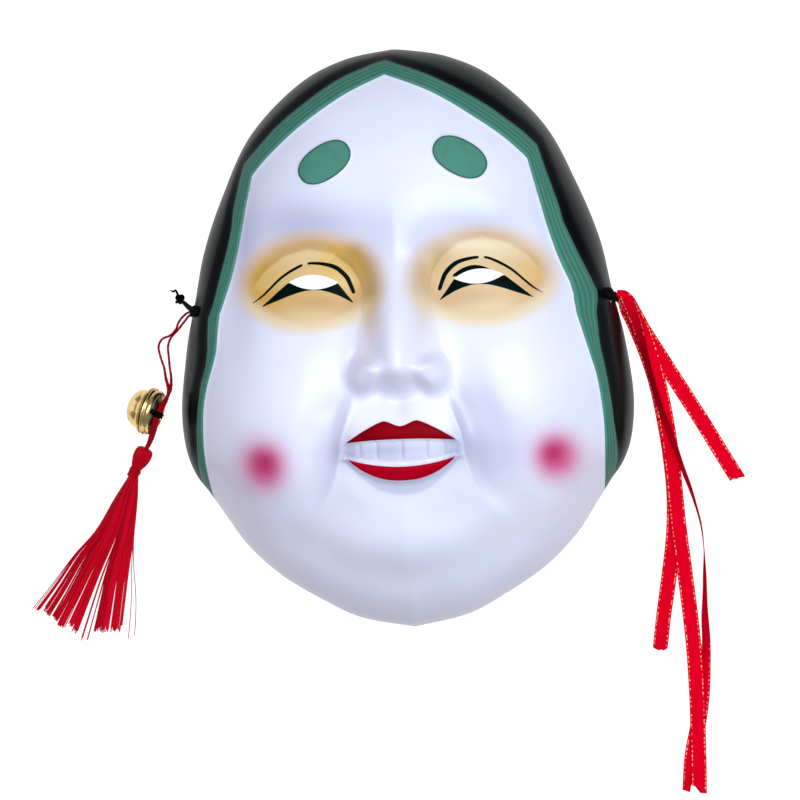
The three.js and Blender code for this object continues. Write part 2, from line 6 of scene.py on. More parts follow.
import logging
import math
import random
from collections.abc import Callable, Iterable, Sequence
from dataclasses import dataclass, field
from enum import Enum

import bpy
import numpy as np
from bpy.types import Material, Mesh, Node, NodeSocket, NodeTree, Object
from mathutils import Matrix, Vector


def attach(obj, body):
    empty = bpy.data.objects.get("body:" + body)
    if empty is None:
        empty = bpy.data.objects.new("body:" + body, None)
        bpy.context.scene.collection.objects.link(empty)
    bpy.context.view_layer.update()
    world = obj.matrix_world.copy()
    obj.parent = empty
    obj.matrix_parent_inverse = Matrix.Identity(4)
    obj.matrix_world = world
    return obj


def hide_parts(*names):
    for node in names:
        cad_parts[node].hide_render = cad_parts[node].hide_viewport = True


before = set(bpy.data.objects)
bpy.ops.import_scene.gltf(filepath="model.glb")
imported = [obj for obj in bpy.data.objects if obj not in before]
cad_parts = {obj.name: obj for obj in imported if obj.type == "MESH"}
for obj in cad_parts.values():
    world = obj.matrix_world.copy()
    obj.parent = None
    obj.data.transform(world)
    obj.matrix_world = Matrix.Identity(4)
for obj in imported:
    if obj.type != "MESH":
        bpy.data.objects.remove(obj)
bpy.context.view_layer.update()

MM = 0.001
Row = tuple[float, ...]
log = logging.getLogger("festival_mask")


# ---- curves


def clamp01(value: np.ndarray | float) -> np.ndarray:
    """The value held between 0 and 1."""
    return np.clip(value, 0.0, 1.0)


def smooth(low: float, high: float, value: np.ndarray | float) -> np.ndarray:
    """An S-shaped step from 0 at low to 1 at high."""
    t = clamp01((np.asarray(value, dtype=float) - low) / (high - low))
    return t * t * (3 - 2 * t)


def mix(a: np.ndarray | float, b: np.ndarray | float, t: np.ndarray | float) -> np.ndarray:
    """The blend of a and b at t."""
    return a + (np.asarray(b) - a) * t


def centripetal(points: Sequence[Row], params: np.ndarray) -> np.ndarray:
    """Points of the centripetal Catmull-Rom curve through given points.

    Args:
        points: the points that the curve goes through.
        params: where to read it, from 0 at the first point to 1 at the last.

    Returns:
        One row of coordinates for each parameter.
    """
    p = np.array(points, dtype=float)
    p = np.vstack([2 * p[0] - p[1], p, 2 * p[-1] - p[-2]])
    last = len(points) - 1
    at = np.clip(params * last, 0, last - 1e-9)
    i = at.astype(int)
    w = (at - i)[:, None]
    x0, x1, x2, x3 = p[i], p[i + 1], p[i + 2], p[i + 3]
    d0, d1, d2 = (
        np.maximum(np.sqrt(np.linalg.norm(b - a, axis=1)), 1e-4)[:, None]
        for a, b in ((x0, x1), (x1, x2), (x2, x3))
    )
    t1 = ((x1 - x0) / d0 - (x2 - x0) / (d0 + d1) + (x2 - x1) / d1) * d1
    t2 = ((x2 - x1) / d1 - (x3 - x1) / (d1 + d2) + (x3 - x2) / d2) * d1
    c2, c3 = -3 * x1 + 3 * x2 - 2 * t1 - t2, 2 * x1 - 2 * x2 + t1 + t2
    return x1 + t1 * w + c2 * w**2 + c3 * w**3


def spline(points: Sequence[Row], params: np.ndarray) -> np.ndarray:
    """Points of the uniform Catmull-Rom curve through given points, with params from 0 to 1.

    Args:
        points: the points the curve goes through.
        params: where to read it, from 0 at the first point to 1 at the last.

    Returns:
        The points of the curve.
    """
    p = np.array(points, dtype=float)
    p = np.vstack([p[:1], p, p[-1:]])
    last = len(points) - 1
    at = np.clip(params * last, 0, last - 1e-9)
    i = at.astype(int)
    w = (at - i)[:, None]
    x0, x1, x2, x3 = p[i], p[i + 1], p[i + 2], p[i + 3]
    v0, v1 = (x2 - x0) / 2, (x3 - x1) / 2
    return (2 * x1 - 2 * x2 + v0 + v1) * w**3 + (-3 * x1 + 3 * x2 - 2 * v0 - v1) * w**2 + v0 * w + x1


def even_line(points: Sequence[Row], step: float) -> np.ndarray:
    """The centripetal curve through the points, read at equal steps of about this length.

    Args:
        points: the points the curve goes through.
        step: the length of one step, in millimetres.

    Returns:
        The points of the curve.
    """
    dense = centripetal(points, np.linspace(0, 1, 60 * len(points)))
    run = np.concatenate([[0], np.cumsum(np.linalg.norm(np.diff(dense, axis=0), axis=1))])
    marks = np.linspace(0, run[-1], max(2, round(run[-1] / step)) + 1)
    return np.stack([np.interp(marks, run, dense[:, k]) for k in range(dense.shape[1])], axis=1)


def line_length(line: np.ndarray) -> float:
    """The length of a line of points."""
    return float(np.linalg.norm(np.diff(line, axis=0), axis=1).sum())


def frames(line: np.ndarray, closed: bool = False) -> tuple[np.ndarray, np.ndarray]:
    """Two directions across a line that turn as little as they can along it.

    Args:
        line: the points of the line.
        closed: whether the line joins its start.

    Returns:
        The first and the second direction at each point.
    """
    tangents = np.gradient(line, axis=0)
    if closed:
        tangents = np.roll(line, -1, axis=0) - np.roll(line, 1, axis=0)
    tangents /= np.linalg.norm(tangents, axis=1)[:, None]
    first = np.cross(tangents[0], (0.0, 0.0, 1.0))
    if np.linalg.norm(first) < 1e-3:
        first = np.cross(tangents[0], (0.0, 1.0, 0.0))
    across = [first / np.linalg.norm(first)]
    for t in tangents[1:]:
        a = across[-1] - t * np.dot(across[-1], t)
        across.append(a / np.linalg.norm(a))
    side = np.array(across)
    return side, np.cross(tangents, side)


# ---- mesh helpers


def select_only(*objs: Object) -> None:
    """Leaves these objects alone selected, with the last one active."""
    bpy.ops.object.select_all(action="DESELECT")
    for obj in objs:
        obj.select_set(True)
        bpy.context.view_layer.objects.active = obj


def edit(obj: Object, *steps: Callable[[], object]) -> None:
    """Runs edit-mode steps on the whole of one object.

    Args:
        obj: the object.
    """
    select_only(obj)
    bpy.ops.object.mode_set(mode="EDIT")
    bpy.ops.mesh.select_all(action="SELECT")
    for step in steps:
        step()
    bpy.ops.object.mode_set(mode="OBJECT")


def outward() -> None:
    """Turns the selected faces outwards."""
    bpy.ops.mesh.normals_make_consistent(inside=False)


def weld(distance: float = 1e-6) -> None:
    """Merges selected vertices that lie together."""
    bpy.ops.mesh.remove_doubles(threshold=distance)


def finish_with(obj: Object, kind: str, **settings: object) -> None:
    """Adds one modifier with its settings and applies it.

    Args:
        obj: the object.
        kind: the kind of modifier.
        settings: its settings.
    """
    modifier = obj.modifiers.new(kind.title(), kind)
    for key, value in settings.items():
        setattr(modifier, key, value)
    select_only(obj)
    bpy.ops.object.modifier_apply(modifier=modifier.name)


def smooth_shade(obj: Object, angle: float = 40.0) -> None:
    """Smooth shading that keeps the edges sharper than an angle."""
    select_only(obj)
    bpy.ops.object.shade_smooth_by_angle(angle=math.radians(angle))


def read_places(mesh: Mesh) -> np.ndarray:
    """The place of each vertex, in metres."""
    co = np.empty(len(mesh.vertices) * 3)
    mesh.vertices.foreach_get("co", co)
    return co.reshape(-1, 3)


def read_values(mesh: Mesh, name: str) -> np.ndarray:
    """The values of a float attribute of the vertices."""
    out = np.empty(len(mesh.vertices), dtype=np.float32)
    mesh.attributes[name].data.foreach_get("value", out)
    return out.astype(float)


def write_values(mesh: Mesh, name: str, values: np.ndarray) -> None:
    """Writes a float attribute with one value for each vertex."""
    mesh.attributes.new(name, "FLOAT", "POINT").data.foreach_set("value", values.astype(np.float32))


def ring_faces(rings: int, sides: int, base: int = 0, closed: bool = False) -> list[tuple[int, ...]]:
    """The faces of a body whose vertices come ring by ring.

    Args:
        rings: how many rings there are.
        sides: how many vertices each ring has.
        base: the number of the first vertex.
        closed: whether the last ring joins the first, instead of a cap at each end.

    Returns:
        The vertex numbers of each face.
    """
    faces: list[tuple[int, ...]] = []
    for i in range(rings if closed else rings - 1):
        a, b = base + i * sides, base + (i + 1) % rings * sides
        faces += [(a + j, a + (j + 1) % sides, b + (j + 1) % sides, b + j) for j in range(sides)]
    if not closed:
        last = base + (rings - 1) * sides
        faces += [tuple(range(base, base + sides))[::-1], tuple(range(last, last + sides))]
    return faces


def mesh_piece(
    name: str,
    points: np.ndarray,
    faces: Iterable[Sequence[int]],
    uv: np.ndarray | None = None,
) -> Object:
    """A new object from points in millimetres.

    Args:
        name: the piece's name.
        points: one row for each vertex.
        faces: vertex numbers of each face.
        uv: a place across and along the surface for each vertex, in metres.

    Returns:
        The object, at the origin.
    """
    mesh = bpy.data.meshes.new(name)
    mesh.from_pydata((np.asarray(points) * MM).tolist(), [], [list(f) for f in faces])
    if uv is not None:
        layer = mesh.uv_layers.new(name="surface")
        corner = np.empty(len(mesh.loops), dtype=np.int32)
        mesh.loops.foreach_get("vertex_index", corner)
        layer.data.foreach_set("uv", np.asarray(uv, dtype=np.float32)[corner].ravel())
    obj = bpy.data.objects.new(name, mesh)
    bpy.context.scene.collection.objects.link(obj)
    return obj


def loft(
    name: str,
    rings: np.ndarray,
    closed: bool = False,
    along: np.ndarray | None = None,
) -> Object:
    """A closed body through rings of points.

    Args:
        name: the piece's name.
        rings: an array of rings, points and coordinates, in millimetres.
        closed: whether the last ring joins the first, instead of a cap at each end.
        along: the distance of each ring along the body, in millimetres.

    Returns:
        The new object, with distances around and along in its UV map.
    """
    n, m = rings.shape[:2]
    around = np.linspace(0, 1, m, endpoint=False) * np.linalg.norm(
        rings[0] - np.roll(rings[0], 1, axis=0), axis=1
    ).sum()
    run = np.arange(n, dtype=float) if along is None else along
    uv = np.stack([np.tile(around, n), np.repeat(run, m)], axis=1) * MM
    obj = mesh_piece(name, rings.reshape(-1, 3), ring_faces(n, m, closed=closed), uv)
    edit(obj, outward)
    return obj


def tube(
    name: str,
    line: np.ndarray,
    radius: float | np.ndarray,
    sides: int = 12,
    lobes: int = 0,
    lobe_depth: float = 0.0,
    pitch: float = 1.0,
    closed: bool = False,
) -> Object:
    """A tube along a line, with strands twisted round it where lobes are given.

    Args:
        name: the piece's name.
        line: the points that it follows, in millimetres.
        radius: its radius, or one for each point.
        sides: how many faces go round it.
        lobes: how many plies the section shows, or 0 for a plain round one.
        lobe_depth: how far the section dips between plies, as a share of the radius.
        pitch: the length in which the plies turn once.
        closed: whether it is a loop.

    Returns:
        The new object.
    """
    side, up = frames(line, closed)
    run = np.concatenate([[0], np.cumsum(np.linalg.norm(np.diff(line, axis=0), axis=1))])
    theta = np.linspace(0, 2 * math.pi, sides, endpoint=False)[None, :]
    r = np.broadcast_to(np.asarray(radius, dtype=float), (len(line),))[:, None] * np.ones_like(theta)
    if lobes:
        wave = np.abs(np.cos(lobes * (theta - 2 * math.pi * run[:, None] / pitch) / 2))
        r = r * (1 - lobe_depth + lobe_depth * wave)
    rings = (
        line[:, None, :]
        + side[:, None, :] * (r * np.cos(theta))[:, :, None]
        + up[:, None, :] * (r * np.sin(theta))[:, :, None]
    )
    return loft(name, rings, closed, run)


def lathe(name: str, profile: Sequence[tuple[float, float]], steps: int = 64) -> Object:
    """A body spun about Z from a closed half outline of (radius, height), in millimetres.

    Args:
        name: the name of the piece.
        profile: radius and height of each point of the outline.
        steps: how many steps make a full turn.

    Returns:
        The body, standing on the Z axis.
    """
    mesh = bpy.data.meshes.new(name)
    points = [(r * MM, 0.0, h * MM) for r, h in profile]
    edges = [(i, (i + 1) % len(points)) for i in range(len(points))]
    mesh.from_pydata(points, edges, [])
    obj = bpy.data.objects.new(name, mesh)
    bpy.context.scene.collection.objects.link(obj)
    edit(
        obj,
        lambda: bpy.ops.mesh.spin(
            steps=steps, angle=2 * math.pi, center=(0, 0, 0), axis=(0, 0, 1), use_auto_merge=True
        ),
        lambda: bpy.ops.mesh.select_all(action="SELECT"),
        weld,
        lambda: bpy.ops.mesh.dissolve_degenerate(threshold=1e-7),
        outward,
    )
    return obj


def join(name: str, parts: Sequence[Object]) -> Object:
    """Joins parts into one piece, each keeping its own materials.

    Args:
        name: the name of the piece.
        parts: the objects to join, the first one kept.

    Returns:
        The joined piece.
    """
    select_only(*parts[1:], parts[0])
    bpy.ops.object.join()
    parts[0].name = name
    return parts[0]


def place(obj: Object, matrix: Matrix) -> None:
    """Moves a piece by a matrix and leaves the place in its mesh."""
    obj.data.transform(matrix)
    obj.data.update()


def coat(obj: Object, *materials: Material) -> None:
    """Gives a piece its materials, first slot first."""
    obj.data.materials.clear()
    for material in materials:
        obj.data.materials.append(material)


# ---- material helpers


def colour(code: str) -> tuple[float, float, float, float]:
    """An sRGB hex value as the linear colour that a shader socket takes."""
    channels = [int(code[i : i + 2], 16) / 255 for i in (1, 3, 5)]
    linear = [c / 12.92 if c <= 0.04045 else ((c + 0.055) / 1.055) ** 2.4 for c in channels]
    return (linear[0], linear[1], linear[2], 1.0)


def add_node(
    tree: NodeTree,
    kind: str,
    links: dict[str | int, object] | None = None,
    **settings: object,
) -> Node:
    """Adds one node.

    Args:
        tree: the node tree that it goes into.
        kind: its type, as bpy names it without the ShaderNode in front.
        links: for each input, another node's output or a plain value.
        settings: the node's own properties.

    Returns:
        The new node.
    """
    node = tree.nodes.new("ShaderNode" + kind)
    for key, value in settings.items():
        setattr(node, key, value)
    for key, value in (links or {}).items():
        if isinstance(value, NodeSocket):
            tree.links.new(value, node.inputs[key])
        else:
            node.inputs[key].default_value = value
    return node


def new_material(name: str) -> tuple[Material, NodeTree]:
    """An empty node material and its tree.

    Args:
        name: the name of the piece.

    Returns:
        The material and its tree.
    """
    material = bpy.data.materials.new(name)
    material.use_nodes = True
    material.node_tree.nodes.clear()
    return material, material.node_tree


def surface(tree: NodeTree, links: dict[str | int, object]) -> Node:
    """A Principled surface that goes to the material's output."""
    shader = add_node(tree, "BsdfPrincipled", links)
    add_node(tree, "OutputMaterial", {"Surface": shader.outputs[0]})
    return shader


def remap(
    tree: NodeTree, value: object, low: float, high: float, start: float = 0.0, end: float = 1.0
) -> NodeSocket:
    """A soft step of a value from start at low to end at high.

    Args:
        tree: the node tree of the material.
        value: the value that is stepped.
        low: where the step begins.
        high: where the step ends.
        start: what it gives at low.
        end: what it gives at high.

    Returns:
        The stepped value.
    """
    node = add_node(
        tree,
        "MapRange",
        {"Value": value, "From Min": low, "From Max": high, "To Min": start, "To Max": end},
        interpolation_type="SMOOTHSTEP",
    )
    return node.outputs[0]


def over(tree: NodeTree, share: object, below: object, above: object) -> NodeSocket:
    """A colour laid over another by a share."""
    node = add_node(tree, "Mix", {0: share, 6: below, 7: above}, data_type="RGBA", blend_type="MIX")
    return node.outputs[2]


# ---- finishes


@dataclass(frozen=True)
class LacqueredShell:
    """Gloss lacquer sprayed on moulded plastic, with airbrushed and hand-masked colours.

    Gives a wet pearl white with soft colour edges round the eyes and on the cheeks, and crisp edges on the lips, brows
    and hair. Part of the colour is painted light: lilac and umber painted shade in the hollows, a darker upper lip as
    painted shade, and cream painted highlight on the lids.
    """

    pearl: str = "#e8e4f7"
    pearl_shade: str = "#e2dff5"
    painted_shade: str = "#b6b2cd"
    ochre: str = "#d29d48"
    umber_painted_shade: str = "#9a7638"
    cream_and_highlight: str = "#edd49a"
    blush: str = "#dc4a8a"
    blush_core: str = "#b81a54"
    lips: str = "#ac001c"
    upper_lip_painted_shade: str = "#7c000c"
    liner: str = "#02100f"
    green: str = "#4f8776"
    green_dark: str = "#3d7162"
    green_rim: str = "#24564b"
    hair: str = "#030b0a"
    gloss: float = 0.3
    brushed_gloss: float = 0.015
    hair_gloss: float = 0.03
    clear_coat: float = 0.16

    def build(self) -> Material:
        """Builds the material from the paint attributes of the shell.

        Returns:
            The material.
        """
        material, tree = new_material("gloss_lacquer_on_moulded_plastic")

        def mask(name: str) -> NodeSocket:
            """The value of one paint attribute."""
            return add_node(tree, "Attribute", attribute_name=name).outputs["Fac"]

        where = add_node(tree, "TexCoord").outputs["Object"]
        # Sprayed lacquer clouds very faintly over tens of millimetres
        cloud = add_node(tree, "TexNoise", {"Vector": where, "Scale": 28.0, "Detail": 2.0})
        colour_now = over(tree, remap(tree, cloud.outputs[0], 0.35, 0.7), colour(self.pearl), colour(self.pearl_shade))
        # Soft-edged layers: lilac painted shade, the gold, cream partly as painted highlight, umber painted shade, the
        # blush
        for name in ("painted_shade", "ochre", "cream_and_highlight", "umber_painted_shade", "blush", "blush_core"):
            colour_now = over(tree, mask(name), colour_now, colour(getattr(self, name)))
        # The upper lip tips away from the light box, so its red is darkened there as painted shade
        red = over(tree, mask("upper_lip_painted_shade"), colour(self.lips), colour(self.upper_lip_painted_shade))
        colour_now = over(tree, remap(tree, mask("lips"), 0.12, -0.12), colour_now, red)
        colour_now = over(tree, remap(tree, mask("liner"), 0.1, -0.1), colour_now, colour(self.liner))
        # The green is brushed on in one thin coat, so it streaks a little, and it is darker along its grooves
        streak = add_node(tree, "TexNoise", {"Vector": where, "Scale": 160.0, "Detail": 3.0})
        groove = remap(tree, mask("groove"), 0.0, 1.0)
        green = over(tree, groove, colour(self.green), colour(self.green_dark))
        green = over(tree, remap(tree, streak.outputs[0], 0.4, 0.75, 0.0, 0.35), green, colour(self.green_dark))
        # The brow's green is darker in a thin ring just inside its edge
        brow = over(tree, remap(tree, mask("brow"), -1.0, -0.1), green, colour(self.green_rim))
        colour_now = over(tree, remap(tree, mask("brow"), 0.15, -0.15), colour_now, brow)
        colour_now = over(tree, remap(tree, mask("hair_in"), -0.12, 0.12), colour_now, green)
        colour_now = over(tree, remap(tree, mask("hair_out"), -0.12, 0.12), colour_now, colour(self.hair))
        # Orange peel of sprayed lacquer, about 1.5 mm from bump to bump
        peel = add_node(tree, "TexNoise", {"Vector": where, "Scale": 650.0, "Detail": 1.0})
        wave = add_node(tree, "TexNoise", {"Vector": where, "Scale": 60.0, "Detail": 1.0})
        soft = add_node(tree, "Bump", {"Height": wave.outputs[0], "Distance": 0.0006, "Strength": 0.25})
        bump = add_node(
            tree, "Bump", {"Height": peel.outputs[0], "Distance": 0.00004, "Strength": 0.5, "Normal": soft.outputs[0]}
        )
        # The colours laid on by brush and mask dry flatter than the sprayed pearl
        flat = remap(tree, mask("lips"), 0.12, -0.12)
        sprayed = add_node(tree, "Math", {0: mask("ochre"), 1: 0.85}, operation="MULTIPLY").outputs[0]
        painted = [remap(tree, mask(n), e, -e) for n, e in (("liner", 0.1), ("brow", 0.15), ("hair_in", -0.12))]
        for part in (sprayed, *painted):
            flat = add_node(tree, "Math", {0: flat, 1: part}, operation="MAXIMUM").outputs[0]
        shine = add_node(tree, "MapRange", {"Value": flat, "To Min": self.gloss, "To Max": self.brushed_gloss})
        veil = add_node(tree, "MapRange", {"Value": flat, "To Min": self.clear_coat, "To Max": 0.0})
        hair = remap(tree, mask("hair_out"), -0.12, 0.12)
        shine = add_node(tree, "MapRange", {"Value": hair, "To Min": shine.outputs[0], "To Max": self.hair_gloss})
        surface(
            tree,
            {
                "Base Color": colour_now,
                "Roughness": 0.34,
                "Specular IOR Level": shine.outputs[0],
                "Coat Weight": veil.outputs[0],
                "Coat Roughness": 0.2,
                "Normal": bump.outputs[0],
            },
        )
        return material


@dataclass(frozen=True)
class BareShell:
    """The unpainted inside of the moulding: plain white polystyrene, satin from the mould."""

    body: str = "#e4e2e2"
    flow_mark: str = "#d8d7da"

    def build(self) -> Material:
        """Builds the material of the inside wall and the cut rim.

        Returns:
            The material.
        """
        material, tree = new_material("moulded_white_polystyrene")
        where = add_node(tree, "TexCoord").outputs["Object"]
        grain = add_node(tree, "TexNoise", {"Vector": where, "Scale": 900.0, "Detail": 2.0})
        flow = add_node(tree, "TexNoise", {"Vector": where, "Scale": 35.0, "Detail": 3.0})
        tone = over(tree, remap(tree, flow.outputs[0], 0.35, 0.7), colour(self.body), colour(self.flow_mark))
        bump = add_node(tree, "Bump", {"Height": grain.outputs[0], "Distance": 0.00005, "Strength": 0.6})
        surface(tree, {"Base Color": tone, "Roughness": 0.45, "Normal": bump.outputs[0]})
        return material


@dataclass(frozen=True)
class BraidedElastic:
    """Round rubber elastic under a braided polyester sleeve: matt black with a fine diamond braid."""

    thread: str = "#050506"
    gap: str = "#010101"
    stitch: float = 0.55

    def build(self) -> Material:
        """Builds the braid from the distances around and along the cord.

        Returns:
            The material.
        """
        material, tree = new_material("braided_polyester_elastic")
        uv = add_node(tree, "UVMap", uv_map="surface").outputs[0]
        scale = 1 / (self.stitch * MM)
        turned = [
            add_node(tree, "Mapping", {0: uv, "Rotation": (0, 0, a), "Scale": (scale, scale, 1)}).outputs[0]
            for a in (math.radians(38), math.radians(-38))
        ]
        waves = [
            add_node(tree, "TexWave", {"Vector": v, "Scale": 0.32, "Distortion": 0.3}).outputs["Fac"] for v in turned
        ]
        braid = add_node(tree, "Math", {0: waves[0], 1: waves[1]}, operation="MAXIMUM").outputs[0]
        tone = over(tree, braid, colour(self.gap), colour(self.thread))
        bump = add_node(tree, "Bump", {"Height": braid, "Distance": 0.0001, "Strength": 0.7})
        surface(tree, {"Base Color": tone, "Roughness": 0.75, "Specular IOR Level": 0.05, "Normal": bump.outputs[0]})
        return material


@dataclass(frozen=True)
class TwistedCord:
    """Twisted rayon cord: two plies of fine lustrous fibres, so each ply has slanted hair-thin lines."""

    fibre: str = "#b80019"
    shade: str = "#8c0010"
    spacing: float = 0.16

    def build(self) -> Material:
        """Builds the fibre lines from the distances around and along the cord.

        Returns:
            The material.
        """
        material, tree = new_material("twisted_rayon_cord")
        uv = add_node(tree, "UVMap", uv_map="surface").outputs[0]
        scale = 1 / (self.spacing * MM)
        lines = add_node(tree, "Mapping", {0: uv, "Rotation": (0, 0, math.radians(25)), "Scale": (scale, scale, 1)})
        wave = add_node(
            tree, "TexWave", {"Vector": lines.outputs[0], "Scale": 0.32, "Distortion": 1.2, "Detail": 1.0}
        )
        tone = over(tree, remap(tree, wave.outputs["Fac"], 0.0, 0.6), colour(self.shade), colour(self.fibre))
        bump = add_node(tree, "Bump", {"Height": wave.outputs["Fac"], "Distance": 0.00004, "Strength": 0.6})
        surface(tree, {"Base Color": tone, "Roughness": 0.6, "Specular IOR Level": 0.04, "Normal": bump.outputs[0]})
        return material


@dataclass(frozen=True)
class SilkThread:
    """Rayon tassel thread: smooth and lustrous, a little different in tone from thread to thread."""

    bright: str = "#e60026"
    deep: str = "#8c000e"

    def build(self) -> Material:
        """Builds the thread's colour from each thread's own tone attribute.

        Returns:
            The material.
        """
        material, tree = new_material("rayon_tassel_thread")
        tone = add_node(tree, "Attribute", attribute_name="thread_tone").outputs["Fac"]
        where = add_node(tree, "TexCoord").outputs["Object"]
        fleck = add_node(tree, "TexNoise", {"Vector": where, "Scale": 1500.0, "Detail": 1.0})
        mixed = over(tree, tone, colour(self.deep), colour(self.bright))
        bump = add_node(tree, "Bump", {"Height": fleck.outputs[0], "Distance": 0.00003, "Strength": 0.5})
        surface(tree, {"Base Color": mixed, "Roughness": 0.5, "Specular IOR Level": 0.05, "Normal": bump.outputs[0]})
        return material


@dataclass(frozen=True)
class SatinRibbon:
    """Woven polyester satin ribbon: a soft lengthwise sheen with very fine crosswise picks."""

    warp: str = "#e80024"
    weft: str = "#c8001a"
    pick: float = 0.35

    def build(self) -> Material:
        """Builds the satin from the distances across and along the ribbon.

        Returns:
            The material.
        """
        material, tree = new_material("woven_polyester_satin")
        uv = add_node(tree, "UVMap", uv_map="surface").outputs[0]
        scale = 1 / (self.pick * MM)
        picks = add_node(tree, "Mapping", {0: uv, "Scale": (scale * 0.2, scale, 1)})
        noise = add_node(tree, "TexNoise", {"Vector": picks.outputs[0], "Scale": 1.0, "Detail": 2.0})
        slow = add_node(tree, "Mapping", {0: uv, "Scale": (60, 45, 1)})
        drift = add_node(tree, "TexNoise", {"Vector": slow.outputs[0], "Scale": 1.0, "Detail": 1.0})
        tone = over(tree, remap(tree, noise.outputs[0], 0.35, 0.75, 0.0, 0.5), colour(self.warp), colour(self.weft))
        tone = over(tree, remap(tree, drift.outputs[0], 0.4, 0.8, 0.0, 0.25), tone, colour(self.weft))
        bump = add_node(tree, "Bump", {"Height": noise.outputs[0], "Distance": 0.00004, "Strength": 0.6})
        surface(tree, {"Base Color": tone, "Roughness": 0.5, "Specular IOR Level": 0.0, "Normal": bump.outputs[0]})
        return material


@dataclass(frozen=True)
class GoldThread:
    """Metallised lurex thread: a thin gold foil strip wound on a core, so it glints in short flecks."""

    foil: str = "#ffb08a"
    worn: str = "#ec4a3c"

    def build(self) -> Material:
        """Builds the foil with broken glints along the thread.

        Returns:
            The material.
        """
        material, tree = new_material("metallised_gold_thread")
        where = add_node(tree, "TexCoord").outputs["Object"]
        fleck = add_node(tree, "TexNoise", {"Vector": where, "Scale": 900.0, "Detail": 2.0})
        tone = over(tree, remap(tree, fleck.outputs[0], 0.45, 0.62), colour(self.foil), colour(self.worn))
        rough = remap(tree, fleck.outputs[0], 0.3, 0.7, 0.22, 0.5)
        surface(tree, {"Base Color": tone, "Metallic": 0.15, "Roughness": rough, "Specular IOR Level": 0.2})
        return material


@dataclass(frozen=True)
class PressedBrass:
    """Pressed brass sheet, barrel-polished and lacquered: a warm mirror with faint stains."""

    metal: str = "#dcbd7c"
    dull: str = "#a98c4e"
    recess_shade: str = "#1d1a12"

    def build(self) -> Material:
        """Builds the brass with its stains and the painted shade in the recess round the loop.

        Returns:
            The material.
        """
        material, tree = new_material("polished_pressed_brass")
        where = add_node(tree, "TexCoord").outputs["Object"]
        stain = add_node(tree, "TexNoise", {"Vector": where, "Scale": 220.0, "Detail": 4.0})
        tone = over(tree, remap(tree, stain.outputs[0], 0.5, 0.72, 0.0, 0.55), colour(self.metal), colour(self.dull))
        # Painted shade: the recess round the loop is darkened where it would lie in shadow and mirror dark things
        deep = add_node(tree, "Attribute", attribute_name="recess_shade").outputs["Fac"]
        tone = over(tree, remap(tree, deep, 0.0, 1.0, 0.0, 0.86), tone, colour(self.recess_shade))
        rough = remap(tree, stain.outputs[0], 0.3, 0.75, 0.16, 0.32)
        bump = add_node(tree, "Bump", {"Height": stain.outputs[0], "Distance": 0.00008, "Strength": 0.3})
        surface(tree, {"Base Color": tone, "Metallic": 1.0, "Roughness": rough, "Normal": bump.outputs[0]})
        return material


# ---- the shell


def half_outline(
    stretches: Sequence[Sequence[tuple[float, float]]], pole_y: float, beyond: float | None = None
) -> Callable[[np.ndarray], np.ndarray]:
    """The radius from the pole of a half outline, as a function of the angle from the top of the head.

    Args:
        stretches: the outline's smooth stretches, which meet at corners.
        pole_y: where the pole is on the middle line.
        beyond: the radius past the outline's last point, or the last one where it is left out.

    Returns:
        The function.
    """
    line = np.vstack([spline(s, np.linspace(0, 1, 24 * len(s) + 1)) for s in stretches])
    angle = np.arctan2(line[:, 0], line[:, 1] - pole_y)
    radius = np.hypot(line[:, 0], line[:, 1] - pole_y)
    order = np.argsort(angle, kind="stable")
    return lambda a: np.interp(a, angle[order], radius[order], right=beyond)


